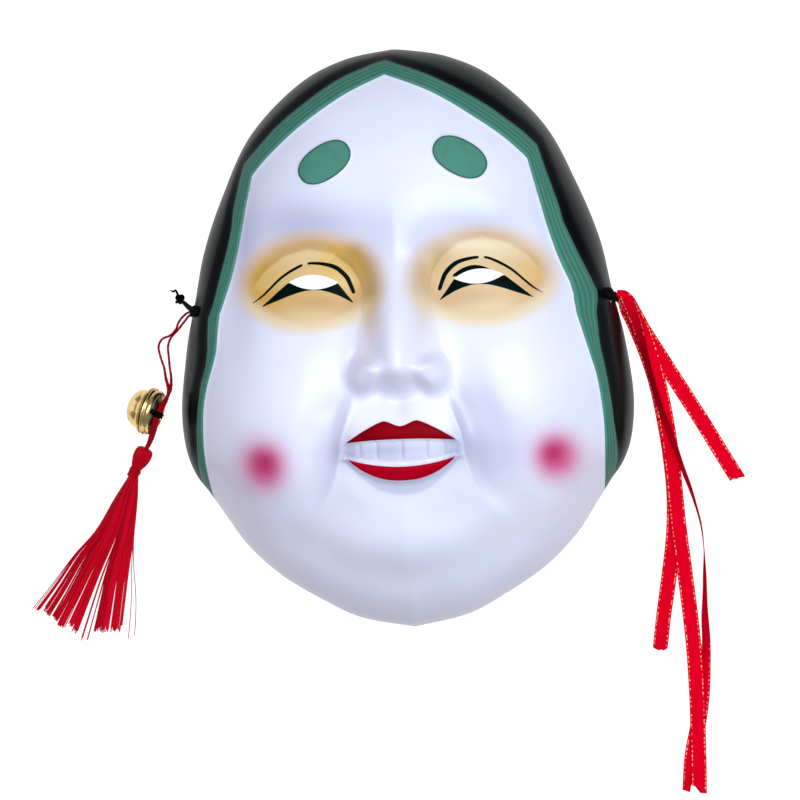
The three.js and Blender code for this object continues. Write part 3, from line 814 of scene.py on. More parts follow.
@dataclass
class FaceForm:
    """The form of the mask's outer skin: where it ends, how high it stands and where each colour goes."""

    pole_y: float = -10.0
    crown_forehead: float = 59.0
    crown_middle: float = 53.5
    crown_chin: float = 49.0
    arch_y: float = 13.0
    arch_half: float = 34.0
    arch_lift: float = 4.6
    hair_step: float = 1.3
    hair_roll: float = 1.2
    hair_turn: float = 0.0245
    off_face: float = 200.0
    rim_points: tuple[Row, ...] = (
        (0, 112.8), (20, 109.3), (38.5, 100), (57.5, 81), (69.3, 57.5), (77.3, 36), (81.3, 16), (85.5, -2),
        (88.3, -24), (87.2, -40), (83.6, -50.5), (78.4, -57.8), (73, -66), (64, -79), (51.4, -91),
        (35.7, -101), (20.6, -108.5), (0, -112.7),
    )
    hairline_points: tuple[tuple[Row, ...], ...] = (
        ((0, 100.3), (19.4, 91.3), (40.4, 76.4), (52.6, 65.1)),
        ((52.6, 65.1), (56.9, 46.8), (62.6, 27.1), (68.3, 12.3)),
        ((68.3, 12.3), (70.7, -4.2), (74.6, -19.7), (76.1, -35.1), (76.3, -47.9), (75.9, -61), (75, -75)),
    )
    band_points: tuple[tuple[Row, ...], ...] = (
        ((0, 105.8), (19.7, 97.4), (40.9, 84.2), (56.1, 69.5)),
        ((56.1, 69.5), (61.5, 48.8), (68, 29), (74.1, 11.8)),
        ((74.1, 11.8), (74.9, -4.8), (78.6, -23), (79.9, -36.5), (80.2, -49.9), (79, -57), (78, -70)),
    )
    # Height on the face, then how far in the hairline and the band lie on the left and on the right
    uneven: tuple[Row, ...] = (
        (-60, -0.8, -0.5, 0.5, 0.0), (-48, -1.2, -0.8, 0.7, -0.3), (-36, -1.5, -0.8, 0.6, 0.5),
        (-24, -1.5, -0.8, 0.9, 0.7), (-13, -1.0, -0.6, 0.9, 0.0), (-7, -0.3, 0.4, 0.8, -0.3), (-1, 0.4, 0.8, 1.2, -0.7),
        (5, 0.2, 0.8, 1.9, -0.6), (11, 0.4, 1.2, 1.9, -1.8), (17, 0.5, 1.8, 0.9, -1.6), (28, 0.7, 1.5, 1.2, -0.7),
        (40, 0.6, 1.4, 1.1, 0.0), (46, 0.4, 1.0, 0.8, -0.8), (52, 0.3, -0.2, 0.7, -0.7), (64, 0.6, -0.2, 0.7, -0.3),
        (75, 0.7, 0.5, 0.7, -0.2), (81, 0.5, 0.4, 0.9, 0.6), (90, 0.9, 0.1, 0.9, 0.6), (98, 0.6, -0.9, 0.6, 0.3),
        (106, 0.3, -0.8, 0.3, -0.2),
    )
    # Middle, long and short half axes, and turn in degrees
    brow: tuple[float, ...] = (25.5, 66.1, 10.9, 6.8, -31.0)
    brow_height: float = 0.9
    # Height on the face and distance from the middle line, from the nose down
    fold: tuple[Row, ...] = (
        (-16.5, 17.6), (-24, 18.2), (-31, 20.2), (-38, 22.6), (-47, 24.0), (-54, 26.0), (-59.5, 28.8), (-66, 33.6),
        (-73, 39.5),
    )
    band_ridges: float = 4.5
    rim: Callable[[np.ndarray], np.ndarray] = field(init=False)
    hairline: Callable[[np.ndarray], np.ndarray] = field(init=False)
    band: Callable[[np.ndarray], np.ndarray] = field(init=False)

    def __post_init__(self) -> None:
        """Works out the three outlines."""
        self.rim = half_outline([self.rim_points], self.pole_y)
        self.hairline = half_outline(self.hairline_points, self.pole_y, self.off_face)
        self.band = half_outline(self.band_points, self.pole_y, self.off_face)

    def fitted(self, angle: np.ndarray, radius: np.ndarray, which: int) -> np.ndarray:
        """A radius of the hairline (0) or the band (1), corrected for the side it is on.

        Args:
            angle: the direction from the middle of the face, in radians.
            radius: the radius before it is corrected.
            which: 0 for the hairline, 1 for the band.

        Returns:
            The corrected radius.
        """
        table = np.array(self.uneven).T
        height = self.pole_y + radius * np.cos(angle)
        left, right = np.interp(height, table[0], table[1 + which]), np.interp(height, table[0], table[3 + which])
        return radius - mix(left, right, smooth(-0.05, 0.05, angle))

    def corners(self) -> list[float]:
        """The angles at which the hairline and the band turn a corner."""
        starts = [s[0] for line in (self.hairline_points, self.band_points) for s in line[1:]]
        return [math.atan2(x, y - self.pole_y) for x, y in starts]

    @staticmethod
    def spot(
        x: np.ndarray,
        y: np.ndarray,
        at: tuple[float, float],
        reach: tuple[float, float],
        height: float,
        turn: float = 0.0,
        power: float = 1.0,
    ) -> np.ndarray:
        """A raised or sunk spot that fades over its long and short reach, turned counter-clockwise.

        Args:
            x: distance from the middle line.
            y: height on the face.
            at: the middle of the spot.
            reach: its long and short reach.
            height: how high it stands, or how deep with a minus.
            turn: its turn in degrees.
            power: how fast it falls off.

        Returns:
            The height that the spot adds.
        """
        t = math.radians(turn)
        dx, dy = x - at[0], y - at[1]
        u = (dx * math.cos(t) + dy * math.sin(t)) / reach[0]
        v = (dy * math.cos(t) - dx * math.sin(t)) / reach[1]
        return height * np.exp(-((u * u + v * v) ** power))

    @staticmethod
    def distance(x: np.ndarray, y: np.ndarray, chain: Sequence[Row], half: np.ndarray | None = None) -> np.ndarray:
        """The distance from each point to a line drawn through a chain of points.

        Args:
            x: distance from the middle line.
            y: height on the face.
            chain: the points of the line.
            half: half the line's width at each of its points, or none for a line without width.

        Returns:
            Millimetres out of the line's edge.
        """
        half = np.zeros(len(chain)) if half is None else half
        best = np.full(x.shape, 1e9)
        for (ax, ay), (bx, by), a, b in zip(chain[:-1], chain[1:], half[:-1], half[1:]):
            ux, uy = bx - ax, by - ay
            t = clamp01(((x - ax) * ux + (y - ay) * uy) / (ux * ux + uy * uy))
            best = np.minimum(best, np.hypot(x - ax - t * ux, y - ay - t * uy) - mix(a, b, t))
        return best

    def share(self, x: np.ndarray, y: np.ndarray) -> np.ndarray:
        """How far out each point is, from 0 at the pole to 1 at the rim."""
        angle = np.abs(np.arctan2(x, y - self.pole_y))
        return np.minimum(1.0, np.hypot(x, y - self.pole_y) / self.rim(angle))

    def dome(self, y: np.ndarray, share: np.ndarray) -> np.ndarray:
        """The plain dome under the features.

        Args:
            y: height on the face.
            share: how far out on the dome, from 0 to 1.

        Returns:
            The height of the dome.
        """
        crown = np.where(
            y > 0,
            mix(self.crown_middle, self.crown_forehead, smooth(10, 75, y)),
            mix(self.crown_middle, self.crown_chin, smooth(-30, -85, y)),
        )
        return crown * (1 - share**4) ** mix(0.55, 0.68, smooth(55, -10, y))

    def arch(self, y: np.ndarray) -> np.ndarray:
        """How far the rim rises to let the elastic pass at the ears."""
        t = np.minimum(1, np.abs(y - self.arch_y) / self.arch_half)
        return self.arch_lift * (0.5 + 0.5 * np.cos(math.pi * t)) ** 2

    def nose(self, x: np.ndarray, y: np.ndarray) -> np.ndarray:
        """The bridge, the rounded tip and the wings.

        Args:
            x: distance from the middle line.
            y: height on the face.

        Returns:
            The height that the nose adds.
        """
        bridge = 1.5 + 18.5 * smooth(32, -9, y)
        width = np.interp(y, (-14, 8, 28, 48), (11.4, 10.0, 10.6, 15.0))
        under = smooth(-24.5, -11.5, y - 0.012 * x * x)
        body = bridge * under * smooth(58, 16, y) * np.exp(-((x / width) ** 2))
        wing = self.spot(x, y, (12.4, -15.0), (6.0, 6.4), 8.8, power=1.6)
        groove = self.spot(x, y, (7.9, -17.5), (2.4, 4.5), -1.0, 20)
        nostril = self.spot(x, y, (8.6, -20.6), (3.4, 2.2), -1.3)
        behind_wing = spline(((15.6, -5.0), (18.3, -10.5), (19.2, -15.5), (17.8, -20.0)), np.linspace(0, 1, 13))
        crease = 0.6 * np.exp(-((self.distance(x, y, behind_wing) / 1.7) ** 2))
        side = self.distance(x, y, ((12.6, 21), (13.6, 10), (15.6, -2), (18.4, -10.5)))
        fade = smooth(24, 12, y)
        return body + wing + groove + nostril - crease - 0.28 * fade * np.exp(-((side / 0.9) ** 2))

    def eyes(self, x: np.ndarray, y: np.ndarray) -> np.ndarray:
        """The sockets, the lids and the crease along the painted lid line.

        Args:
            x: distance from the middle line.
            y: height on the face.

        Returns:
            The height that the eyes add.
        """
        socket = self.spot(x, y, (33, 25), (28, 16), -5.3, -6, 1.15)
        inner = self.spot(x, y, (12.8, 23), (7, 13), -2.7)
        lid = self.spot(x, y, (33.5, 21), (20, 9.4), 5.0, -6, 1.2)
        crease = self.distance(x, y, self.lid_line())
        return socket + inner + lid - 0.35 * np.exp(-((crease / 0.9) ** 2))

    @staticmethod
    def lid_line() -> tuple[Row, ...]:
        """The painted line over the eye, from the nose outwards.

        Returns:
            The points of the line.
        """
        return (
            (16.2, 17.0), (17.3, 20.0), (18.8, 23.0), (22.4, 26.3), (27.3, 27.9), (33.2, 28.3), (38, 26.6),
            (43.4, 23.4), (47.8, 19.5), (51.2, 16.6), (54.8, 14.4),
        )

    @staticmethod
    def lip_edges(x: np.ndarray) -> tuple[np.ndarray, ...]:
        """The four edges of the lips: upper lip's top and base, lower lip's top and base.

        Args:
            x: distance from the middle line.

        Returns:
            The height on the face of each edge.
        """
        far = clamp01(x / 21)
        peak = mix(-33.9, -31.9, smooth(0, 6.3, x))
        slope = mix(-31.9, -39.8, clamp01((x - 6.3) / 14.7) ** 1.25)
        top = np.where(x < 6.3, peak, slope)
        base = mix(-38.8, -39.8, far**2.4)
        low = clamp01(x / 20.7)
        return top, base, mix(-49.1, -45.7, low**2), mix(-54.4, -45.7, low**2.3)

    def mouth(self, x: np.ndarray, y: np.ndarray) -> np.ndarray:
        """The muzzle, the lips, the teeth between them and the hollow under the lower lip.

        Args:
            x: distance from the middle line.
            y: height on the face.

        Returns:
            The height that the mouth adds.
        """
        top, base, low_top, low_base = self.lip_edges(x)

        def pad(high: np.ndarray, low: np.ndarray, edge: float) -> np.ndarray:
            """A pad between two edges, from 0 beside it to 1 on it."""
            return smooth(-edge, edge, y - low) * smooth(-edge, edge, high - y)

        inside = smooth(22.3, 20.2, x)
        lips = 1.1 * (pad(top, base, 1.1) + pad(low_top, low_base, 1.1))
        row = pad(base - 0.4, low_top + 0.3, 0.5)
        bottom = -46.7 + 1.1 * (x / 13) ** 2
        groove = sum(np.exp(-(((x - g) / 0.8) ** 2)) for g in (0.0, 9.3, 15.8))
        teeth = row * (-1.3 + smooth(bottom - 0.5, bottom + 0.6, y) * (0.7 - 0.75 * groove))
        muzzle = self.spot(x, y, (0, -42), (25, 22), 5, power=1.4)
        below = y - low_base
        trough = -1.7 * smooth(0.4, -2.0, below) * smooth(-13.5, -2.6, below) * smooth(30, 14, x)
        philtrum = self.spot(x, y, (0, -27.5), (3.2, 5.5), -0.7)
        return muzzle + inside * (lips + teeth) + trough + philtrum

    def past_fold(self, x: np.ndarray, y: np.ndarray) -> np.ndarray:
        """How far out of the smile fold each point is, negative towards the mouth."""
        fold_y, fold_x = spline(self.fold, np.linspace(0, 1, 61))[::-1].T
        return x - np.interp(y, fold_y, fold_x)

    def cheeks(self, x: np.ndarray, y: np.ndarray) -> np.ndarray:
        """The cheeks, the jowls, the double chin and the smile folds with their crisp inner edge.

        Args:
            x: distance from the middle line.
            y: height on the face.

        Returns:
            The height that the cheeks add.
        """
        cheek = self.spot(x, y, (46, -22), (24, 32), 5, 8, 1.3)
        jowl = self.spot(x, y, (46, -58), (20, 18), 3, -30)
        chin = self.spot(x, y, (0, -79.5), (20, 12), 4.5, power=1.2)
        under = -2 * np.exp(-((self.distance(x, y, ((0, -92), (24, -88), (44, -76))) / 7) ** 2))
        past = self.past_fold(x, y)
        ends = smooth(-14, -30, y) * smooth(-76, -58, y)
        valley = -1.9 * smooth(-1.2, 5.0, past) * smooth(22, 6, past) * ends
        crest = 0.26 * np.exp(-((past / 1.0) ** 2)) * ends
        temple = self.spot(x, y, (60, 34), (14, 24), -1.5, -20)
        return cheek + jowl + chin + under + valley + crest + temple

    def brow_distance(self, x: np.ndarray, y: np.ndarray) -> np.ndarray:
        """The distance out of the brow's oval, negative inside.

        Args:
            x: distance from the middle line.
            y: height on the face.

        Returns:
            The distance, in millimetres.
        """
        bx, by, long, short, turn = self.brow
        t = math.radians(turn)
        dx, dy = x - bx, y - by
        u = np.abs(dx * math.cos(t) + dy * math.sin(t)) / long
        v = np.abs(dy * math.cos(t) - dx * math.sin(t)) / short
        ring = np.maximum((u**2.25 + v**2.25) ** (1 / 2.25), 1e-3)
        return (ring - 1) * np.hypot(dx, dy) / ring

    def hair(self, into: np.ndarray, out: np.ndarray, wide: np.ndarray) -> np.ndarray:
        """The step up to the band, its fine grooves and the roll of the hair behind it.

        Args:
            into: how far past the hairline.
            out: how far past the band.
            wide: the width of the band.

        Returns:
            The height that the hair adds.
        """
        band = smooth(-0.3, 0.7, into)
        groove = np.cos(2 * math.pi * into / wide * self.band_ridges) * smooth(0.3, 1.0, into) * smooth(0.2, -0.5, out)
        behind = smooth(-0.5, 0.2, out)
        roll = smooth(0.3, 4, out)
        return self.hair_step * (band - 0.8 * behind) - 0.13 * groove + (self.hair_step + self.hair_roll) * roll

    def relief(self, x: np.ndarray, y: np.ndarray) -> np.ndarray:
        """All the features of the face that stand on the dome, for points right of the middle."""
        brow = self.brow_height * smooth(0.5, -0.4, self.brow_distance(x, y))
        return self.nose(x, y) + self.eyes(x, y) + self.mouth(x, y) + self.cheeks(x, y) + brow

    def liner(self, x: np.ndarray, y: np.ndarray, right: np.ndarray) -> np.ndarray:
        """The distance out of the black eye paint, negative inside.

        Args:
            x: distance from the middle line.
            y: height on the face.
            right: 0 on the left of the face, 1 on its right.

        Returns:
            The distance, in millimetres.
        """
        line = spline(self.lid_line(), np.linspace(0, 1, 41))
        half = np.interp(line[:, 0], (16, 18, 22, 28, 33, 38, 50, 55), (0.7, 0.85, 0.85, 0.62, 0.45, 0.55, 0.42, 0.2))
        near = self.distance(x, y, line, half)
        gap = np.maximum(0.95 - np.abs(x - mix(34.2, 32.2, right)), -0.5)
        upper = self.slit_rim(x, y, right)
        return np.minimum(np.minimum(np.maximum(near, gap), self.lower_wedge(x, y)), upper)

    @staticmethod
    def slit_rim(x: np.ndarray, y: np.ndarray, right: np.ndarray) -> np.ndarray:
        """The distance out of the black paint along the slit's upper edge, which only the right eye has."""
        far = (x - 29.5) / 9.0
        top = 21.2 + 4.2 * (1 - far * far)
        return np.maximum(np.maximum(y - top, 21.3 - y), np.maximum(5 * (1 - right) - 0.6, 21.3 - x))

    @staticmethod
    def lower_wedge(x: np.ndarray, y: np.ndarray) -> np.ndarray:
        """The distance out of the black wedge under the slit, from corner to corner of the eye.

        Args:
            x: distance from the middle line.
            y: height on the face.

        Returns:
            The distance, in millimetres.
        """
        edge_x = (16.3, 19.0, 21.8, 24.5, 28.0, 31.1, 34.5, 37.5, 40.8, 45.0, 48.0, 51.2)
        upper = (13.1, 16.6, 20.4, 20.6, 20.6, 20.6, 20.6, 20.9, 21.2, 17.9, 15.4, 12.9)
        under = (12.7, 14.3, 15.8, 16.9, 17.9, 18.15, 17.9, 17.2, 16.2, 14.7, 13.7, 12.5)
        high, low = np.interp(x, edge_x, upper), np.interp(x, edge_x, under)
        return np.maximum(np.maximum((y - high) * 0.75, (low - y) * 0.92), np.maximum(16.3 - x, x - 51.2))

    def paints(self, x: np.ndarray, y: np.ndarray, right: np.ndarray) -> dict[str, np.ndarray]:
        """The paint masks of the face, for points folded to the right of the middle.

        Args:
            x: distance from the middle line.
            y: height on the face.
            right: 1 on the viewer's right side and 0 on the left.

        Returns:
            One mask for each attribute: millimetres out of an edge, or a share of spray, painted shade or painted
                highlight.
        """
        top, base, low_top, low_base = self.lip_edges(x)
        upper = np.maximum(y - top, base - y)
        lower = np.maximum(y - low_top, low_base - y)
        lips = np.maximum(np.minimum(upper, lower), (x - 20.9) * 0.6)
        ring = np.hypot((x - 32.3) / 29.4, (y - 21.6) / 19.6)
        edge = smooth(1.1, 0.68, ring)
        # The gold lies heavier on the left and beside the nose, partly as painted shade
        beside_nose = self.spot(x, y, (10.6, 17), (4.4, 15), mix(0.85, 0.5, right))
        strong = (
            self.spot(x, y, (18, 31), (10, 6), mix(0.3, 0.0, right), -20)
            + self.spot(x, y, (52, 21), (9, 9), mix(0.24, 0.12, right))
            - self.spot(x, y, (32, 8.4), (13, 4.0), 0.12)
        )
        # Painted highlight in cream: a paler band on the lid, stronger on the right, that also thins the gold there
        lid = self.spot(x, y, (33, 31.5), (13, 3.8), mix(0.12, 0.36, right), -8)
        ochre = clamp01(np.maximum(edge * (mix(0.88, 0.78, right) + strong - lid), beside_nose * smooth(32, 24, y)))
        # Cream also pales the ring's edge, most in its lower part, and the lid under the slit
        rim = smooth(1.12, 0.88, ring) * smooth(0.72, 0.94, ring)
        cream_and_highlight = edge * (0.06 + 0.7 * lid) + mix(0.06, 0.52, smooth(24, 12, y)) * rim
        cream_and_highlight = cream_and_highlight + self.spot(x, y, (32, 8.8), (12, 3.6), 0.36)
        # The lid is painted paler up to its crease as a painted highlight, and painted shade is darkest just above the
        # crease
        crease = np.interp(x, (11.8, 13.7, 17, 24, 33, 42, 49.5, 56), (14, 22, 27.5, 33, 34.8, 32.6, 27.5, 20))
        over_lid = y - crease - mix(-1.0, 1.2, right)
        across = smooth(10, 15, x) * smooth(57, 50, x)
        above_lid = edge * across * smooth(0.7, -0.7, over_lid) * smooth(17, 21, y)
        cream_and_highlight = clamp01(cream_and_highlight + mix(0.32, 0.26, right) * above_lid)
        # Umber painted shade beside the nose and just above the lid crease, and an umber patch under the slit
        shade_line = self.distance(x, y, ((15.4, 31), (11, 25.4), (9.2, 17.9)))
        umber_painted_shade = (
            mix(0.58, 0.25, right) * np.exp(-((shade_line / 5.0) ** 2))
            + mix(0.36, 0.2, right) * across * smooth(-0.6, 0.6, over_lid) * np.exp(-((over_lid / 3.6) ** 2))
            + self.spot(x, y, (27, 12.6), (13, 3.4), mix(0.34, 0.24, right))
        )
        past = self.past_fold(x, y)
        # Lilac painted shade over the eyes, at the temples, beside the nose, outside the smile folds, at the mouth and
        # teeth
        crescent = smooth(0.3, -0.4, y - low_base) * smooth(-0.7, 0.7, y - low_base + 5.4 * (1 - (x / 24) ** 2))
        painted_shade = (
            self.spot(x, y, (30, 43), (21, 9), mix(0.78, 0.46, right))
            + self.spot(x, y, (44, 60), (13, 24), mix(0.32, 0.12, right))
            + self.spot(x, y, (58, 30), (7, 30), mix(0.85, 0.28, right))
            + self.spot(x, y, (0, 41), (9, 14), 0.4)
            + self.spot(x, y, (8.5, 28), (5, 11), mix(0.1, 0.32, right))
            + mix(0.36, 0.55, right) * smooth(-0.5, 0.7, past) * smooth(13, 3, past)
            * smooth(-17, -27, y) * smooth(-67, -47, y)
            + self.spot(x, y, (36, -29), (13, 17), mix(0.0, 0.46, right))
            + self.spot(x, y, (38, -47), (10, 9), mix(0.0, 0.42, right))
            + self.spot(x, y, (19.8, -41), (4.2, 8), 0.7)
            + 0.55 * crescent * smooth(24, 21, x)
            + self.spot(x, y, (0, -27), (5, 5), 0.3)
            + self.spot(x, y, (0, -42.8), (21, 3.6), mix(0.95, 0.6, right))
        )
        spot_x = mix(52.8, 58.0, right)
        far = np.hypot(x - spot_x, (y + 47.4) * 0.97)
        core = np.hypot(x - spot_x - mix(-0.8, -1.5, right), y + 46.2)
        return {
            "lips": lips,
            # painted shade: the upper lip darkened, most away from the middle
            "upper_lip_painted_shade": smooth(-42.5, -41.5, y) * mix(0.75, 1.0, smooth(6, 14, x * mix(1, 0.6, right))),
            "liner": self.liner(x, y, right),
            "brow": self.brow_distance(x, y),
            "ochre": ochre,
            "cream_and_highlight": cream_and_highlight,
            "umber_painted_shade": umber_painted_shade,
            "painted_shade": clamp01(painted_shade),
            "blush": 0.95 * np.exp(-((far / mix(9.8, 9.2, right)) ** 2.8)),
            "blush_core": 0.85 * np.exp(-((core / 4.6) ** 2)),
        }


@dataclass
class MaskShell:
    """The moulded shell: outer skin with relief, true wall, eye slits and side holes."""

    form: FaceForm = field(default_factory=FaceForm)
    wall: float = 1.4
    around: int = 340
    face_rings: int = 66
    band_rings: int = 18
    hair_rings: int = 22
    slit: tuple[float, ...] = (31.1, 21.1, 9.5, 2.9, 2.75, 3.0)
    hole: tuple[float, ...] = (13.0, 17.0, 2.6)

    def column_angles(self) -> np.ndarray:
        """Angles of the columns, with one on every corner of the hairline.

        Returns:
            The angles, in radians.
        """
        half = np.linspace(0, math.pi, self.around // 2 + 1)
        for corner in self.form.corners():
            half[np.argmin(np.abs(half - corner))] = corner
        return np.concatenate([half, -half[-2:0:-1], [0.0]])

    def flat_skin(self) -> Object:
        """A flat polar grid whose rings follow the hairline and the band, finer at the eyes and the mouth.

        Returns:
            The flat grid.
        """
        rings = self.face_rings + self.band_rings + self.hair_rings
        bpy.ops.mesh.primitive_grid_add(x_subdivisions=self.around, y_subdivisions=rings, size=2)
        skin = bpy.context.object
        skin.name = "face_shell"
        co = read_places(skin.data)
        column = np.rint((co[:, 0] + 1) / 2 * self.around).astype(int)
        row = np.rint((co[:, 1] + 1) / 2 * rings).astype(int)
        drawn = self.column_angles()[column]
        lean = self.form.hair_turn * (1 - smooth(1.6, 2.4, np.abs(drawn)))
        true = np.where(np.abs(drawn) > math.pi - 1e-9, drawn, drawn - lean)
        rim = self.form.rim(np.abs((true + math.pi) % (2 * math.pi) - math.pi))
        hairline = self.form.fitted(drawn, self.form.hairline(np.abs(drawn)), 0)
        band = self.form.fitted(drawn, self.form.band(np.abs(drawn)), 1)
        line, edge = np.minimum(hairline, 0.955 * rim), np.minimum(band, 0.98 * rim)
        b = mix(line, edge, 1.04)
        a_end, b_end = self.face_rings, self.face_rings + self.band_rings
        in_hair = clamp01((row - b_end) / self.hair_rings)
        radius = np.where(
            row <= a_end,
            line * (row / a_end),
            np.where(row <= b_end, mix(line, b, (row - a_end) / self.band_rings), mix(b, rim, 1 - (1 - in_hair) ** 1.6)),
        )
        radius = np.where(row == rings, rim, radius)
        co[:, 0] = radius * np.sin(true) * MM
        co[:, 1] = (self.form.pole_y + radius * np.cos(true)) * MM
        co[:, 2] = 0
        skin.data.vertices.foreach_set("co", co.ravel())
        for name, values in (
            ("hair_in", radius - hairline), ("hair_out", radius - band), ("band_wide", band - hairline),
            ("at_rim", (row == rings).astype(float)),
        ):
            write_values(skin.data, name, values)
        edit(skin, lambda: weld(2e-6))
        return skin

    def refine(self, skin: Object) -> None:
        """Divides the faces once more where the paint and the relief are finest.

        Args:
            skin: the skin of the shell.
        """
        centres = np.empty(len(skin.data.polygons) * 3)
        skin.data.polygons.foreach_get("center", centres)
        x, y = np.abs(centres[0::3] / MM), centres[1::3] / MM
        eye = (x > 13) & (x < 57.5) & (y > 10) & (y < 31)
        mouth = (x < 24.5) & (y > -61) & (y < -29)
        brow = self.form.brow_distance(x, y)
        chosen = eye | mouth | (np.abs(brow) < 1.6)
        select_only(skin)
        bpy.ops.object.mode_set(mode="EDIT")
        bpy.ops.mesh.select_all(action="DESELECT")
        bpy.ops.mesh.select_mode(type="FACE")
        bpy.ops.object.mode_set(mode="OBJECT")
        skin.data.polygons.foreach_set("select", chosen)
        bpy.ops.object.mode_set(mode="EDIT")
        bpy.ops.mesh.subdivide(number_cuts=1)
        bpy.ops.mesh.select_mode(type="VERT")
        bpy.ops.object.mode_set(mode="OBJECT")

    def raise_skin(self, skin: Object) -> None:
        """Lifts the flat grid to the form of the face.

        Args:
            skin: the skin of the shell.
        """
        mesh, form = skin.data, self.form
        co = read_places(mesh)
        x, y = co[:, 0] / MM, co[:, 1] / MM
        into, out, wide, at_rim = (read_values(mesh, n) for n in ("hair_in", "hair_out", "band_wide", "at_rim"))
        share = form.share(x, y)
        hair = form.hair(into, out, np.maximum(wide, 0.5))
        fade = 1 - share**14
        lift = form.dome(y, share) + form.arch(y) * share**6
        lift = lift + fade * (form.relief(np.abs(x), y) + hair * (1 - 0.6 * share))
        radius = np.maximum(np.hypot(x, y - form.pole_y), 1)
        spread = 1 + fade * hair * 0.5 / radius
        co[:, 0] = x * spread * MM
        co[:, 1] = (form.pole_y + (y - form.pole_y) * spread) * MM
        co[:, 2] = np.where(at_rim > 0.5, form.arch(y), lift) * MM
        mesh.vertices.foreach_set("co", co.ravel())
        mesh.update()

    def thicken(self, skin: Object) -> None:
        """Gives the skin its wall, brings the inner rim level and thins out the inner face.

        Args:
            skin: the skin of the shell.
        """
        skin.vertex_groups.new(name="inner")
        finish_with(
            skin, "SOLIDIFY", thickness=self.wall * MM, offset=-1.0, use_quality_normals=True,
            shell_vertex_group="inner", material_offset=1, material_offset_rim=1,
        )
        mesh = skin.data
        at_rim = read_values(mesh, "at_rim")
        inner = skin.vertex_groups["inner"].index
        for v in mesh.vertices:
            if at_rim[v.index] > 0.5 and any(g.group == inner and g.weight > 0.5 for g in v.groups):
                v.co.z = float(self.form.arch(np.array(v.co.y / MM))) * MM
        mesh.update()
        finish_with(
            skin, "DECIMATE", decimate_type="COLLAPSE", ratio=0.68, vertex_group="inner",
            vertex_group_factor=10.0,
        )

    def cut(self, skin: Object) -> None:
        """Cuts the two eye slits and the two side holes through the wall.

        Args:
            skin: the skin of the shell.
        """
        x, y, half, rise, drop, turn = self.slit
        t = np.linspace(-1, 1, 33)
        upper = np.stack([t * half, rise * (1 - t * t)], 1)
        lower = np.stack([t * half, -drop * (1 - t * t)], 1)
        lens = np.vstack([upper, lower[-2:0:-1]])
        for side in (-1, 1):
            a = math.radians(turn) * side
            turned = lens @ np.array([[math.cos(a), math.sin(a)], [-math.sin(a), math.cos(a)]])
            ring = np.column_stack([turned + (side * x, y), np.zeros(len(lens))])
            cutter = loft("slit_cutter", np.stack([ring + (0, 0, 30), ring + (0, 0, 75)]))
            self.subtract(skin, cutter)
            hole_y, hole_z, radius = self.hole
            bpy.ops.mesh.primitive_cylinder_add(
                vertices=40, radius=radius * MM, depth=30 * MM, location=(side * 78 * MM, hole_y * MM, hole_z * MM),
                rotation=(0, math.pi / 2, 0),
            )
            self.subtract(skin, bpy.context.object)

    @staticmethod
    def subtract(skin: Object, cutter: Object) -> None:
        """Cuts one body out of the shell and removes it."""
        finish_with(skin, "BOOLEAN", operation="DIFFERENCE", solver="EXACT", object=cutter)
        bpy.data.objects.remove(cutter, do_unlink=True)

    def paint(self, skin: Object) -> None:
        """Writes the paint masks that the lacquer reads.

        Args:
            skin: the skin of the shell.
        """
        mesh, form = skin.data, self.form
        x, y, _ = read_places(mesh).T / MM
        masks = form.paints(np.abs(x), y, smooth(-6, 6, x))
        into, wide = read_values(mesh, "hair_in"), read_values(mesh, "band_wide")
        turns = into / np.maximum(wide, 0.5) * form.band_ridges
        masks["groove"] = (0.5 + 0.5 * np.cos(2 * math.pi * turns)) * smooth(0.3, 1, into)
        for name, values in masks.items():
            write_values(mesh, name, values)

    def build(self) -> list[Object]:
        """Builds the shell with its paint.

        Returns:
            The pieces, ready.
        """
        skin = self.flat_skin()
        self.refine(skin)
        self.raise_skin(skin)
        coat(skin, LacqueredShell().build(), BareShell().build())
        self.thicken(skin)
        self.cut(skin)
        self.paint(skin)
        smooth_shade(skin, 38)
        ride(skin, "painted_shell", "mask_shell")
        return [skin]


# ---- fastening and reporting


def ride(piece: Object, slot: str, *nodes: str) -> None:
    """Fastens a piece to the mask's one body and hides the nodes that it stands for.

    Args:
        piece: the piece.
        slot: the name of its finish; not used.
        nodes: the nodes that it stands for.
    """
    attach(piece, "root")
    if nodes:
        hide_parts(*nodes)


def dress(
    piece: Object, material: Material, slot: str, node: str, angle: float = 40.0
) -> Object:
    """Gives a piece its material and smooth shading and fastens it to the mask's body.

    Args:
        piece: the piece.
        material: its material.
        slot: the name of its finish.
        node: the node that it stands for.
        angle: faces that meet at less than this, in degrees, shade as one.

    Returns:
        The piece.
    """
    coat(piece, material)
    smooth_shade(piece, angle)
    ride(piece, slot, node)
    return piece


# ---- elastic


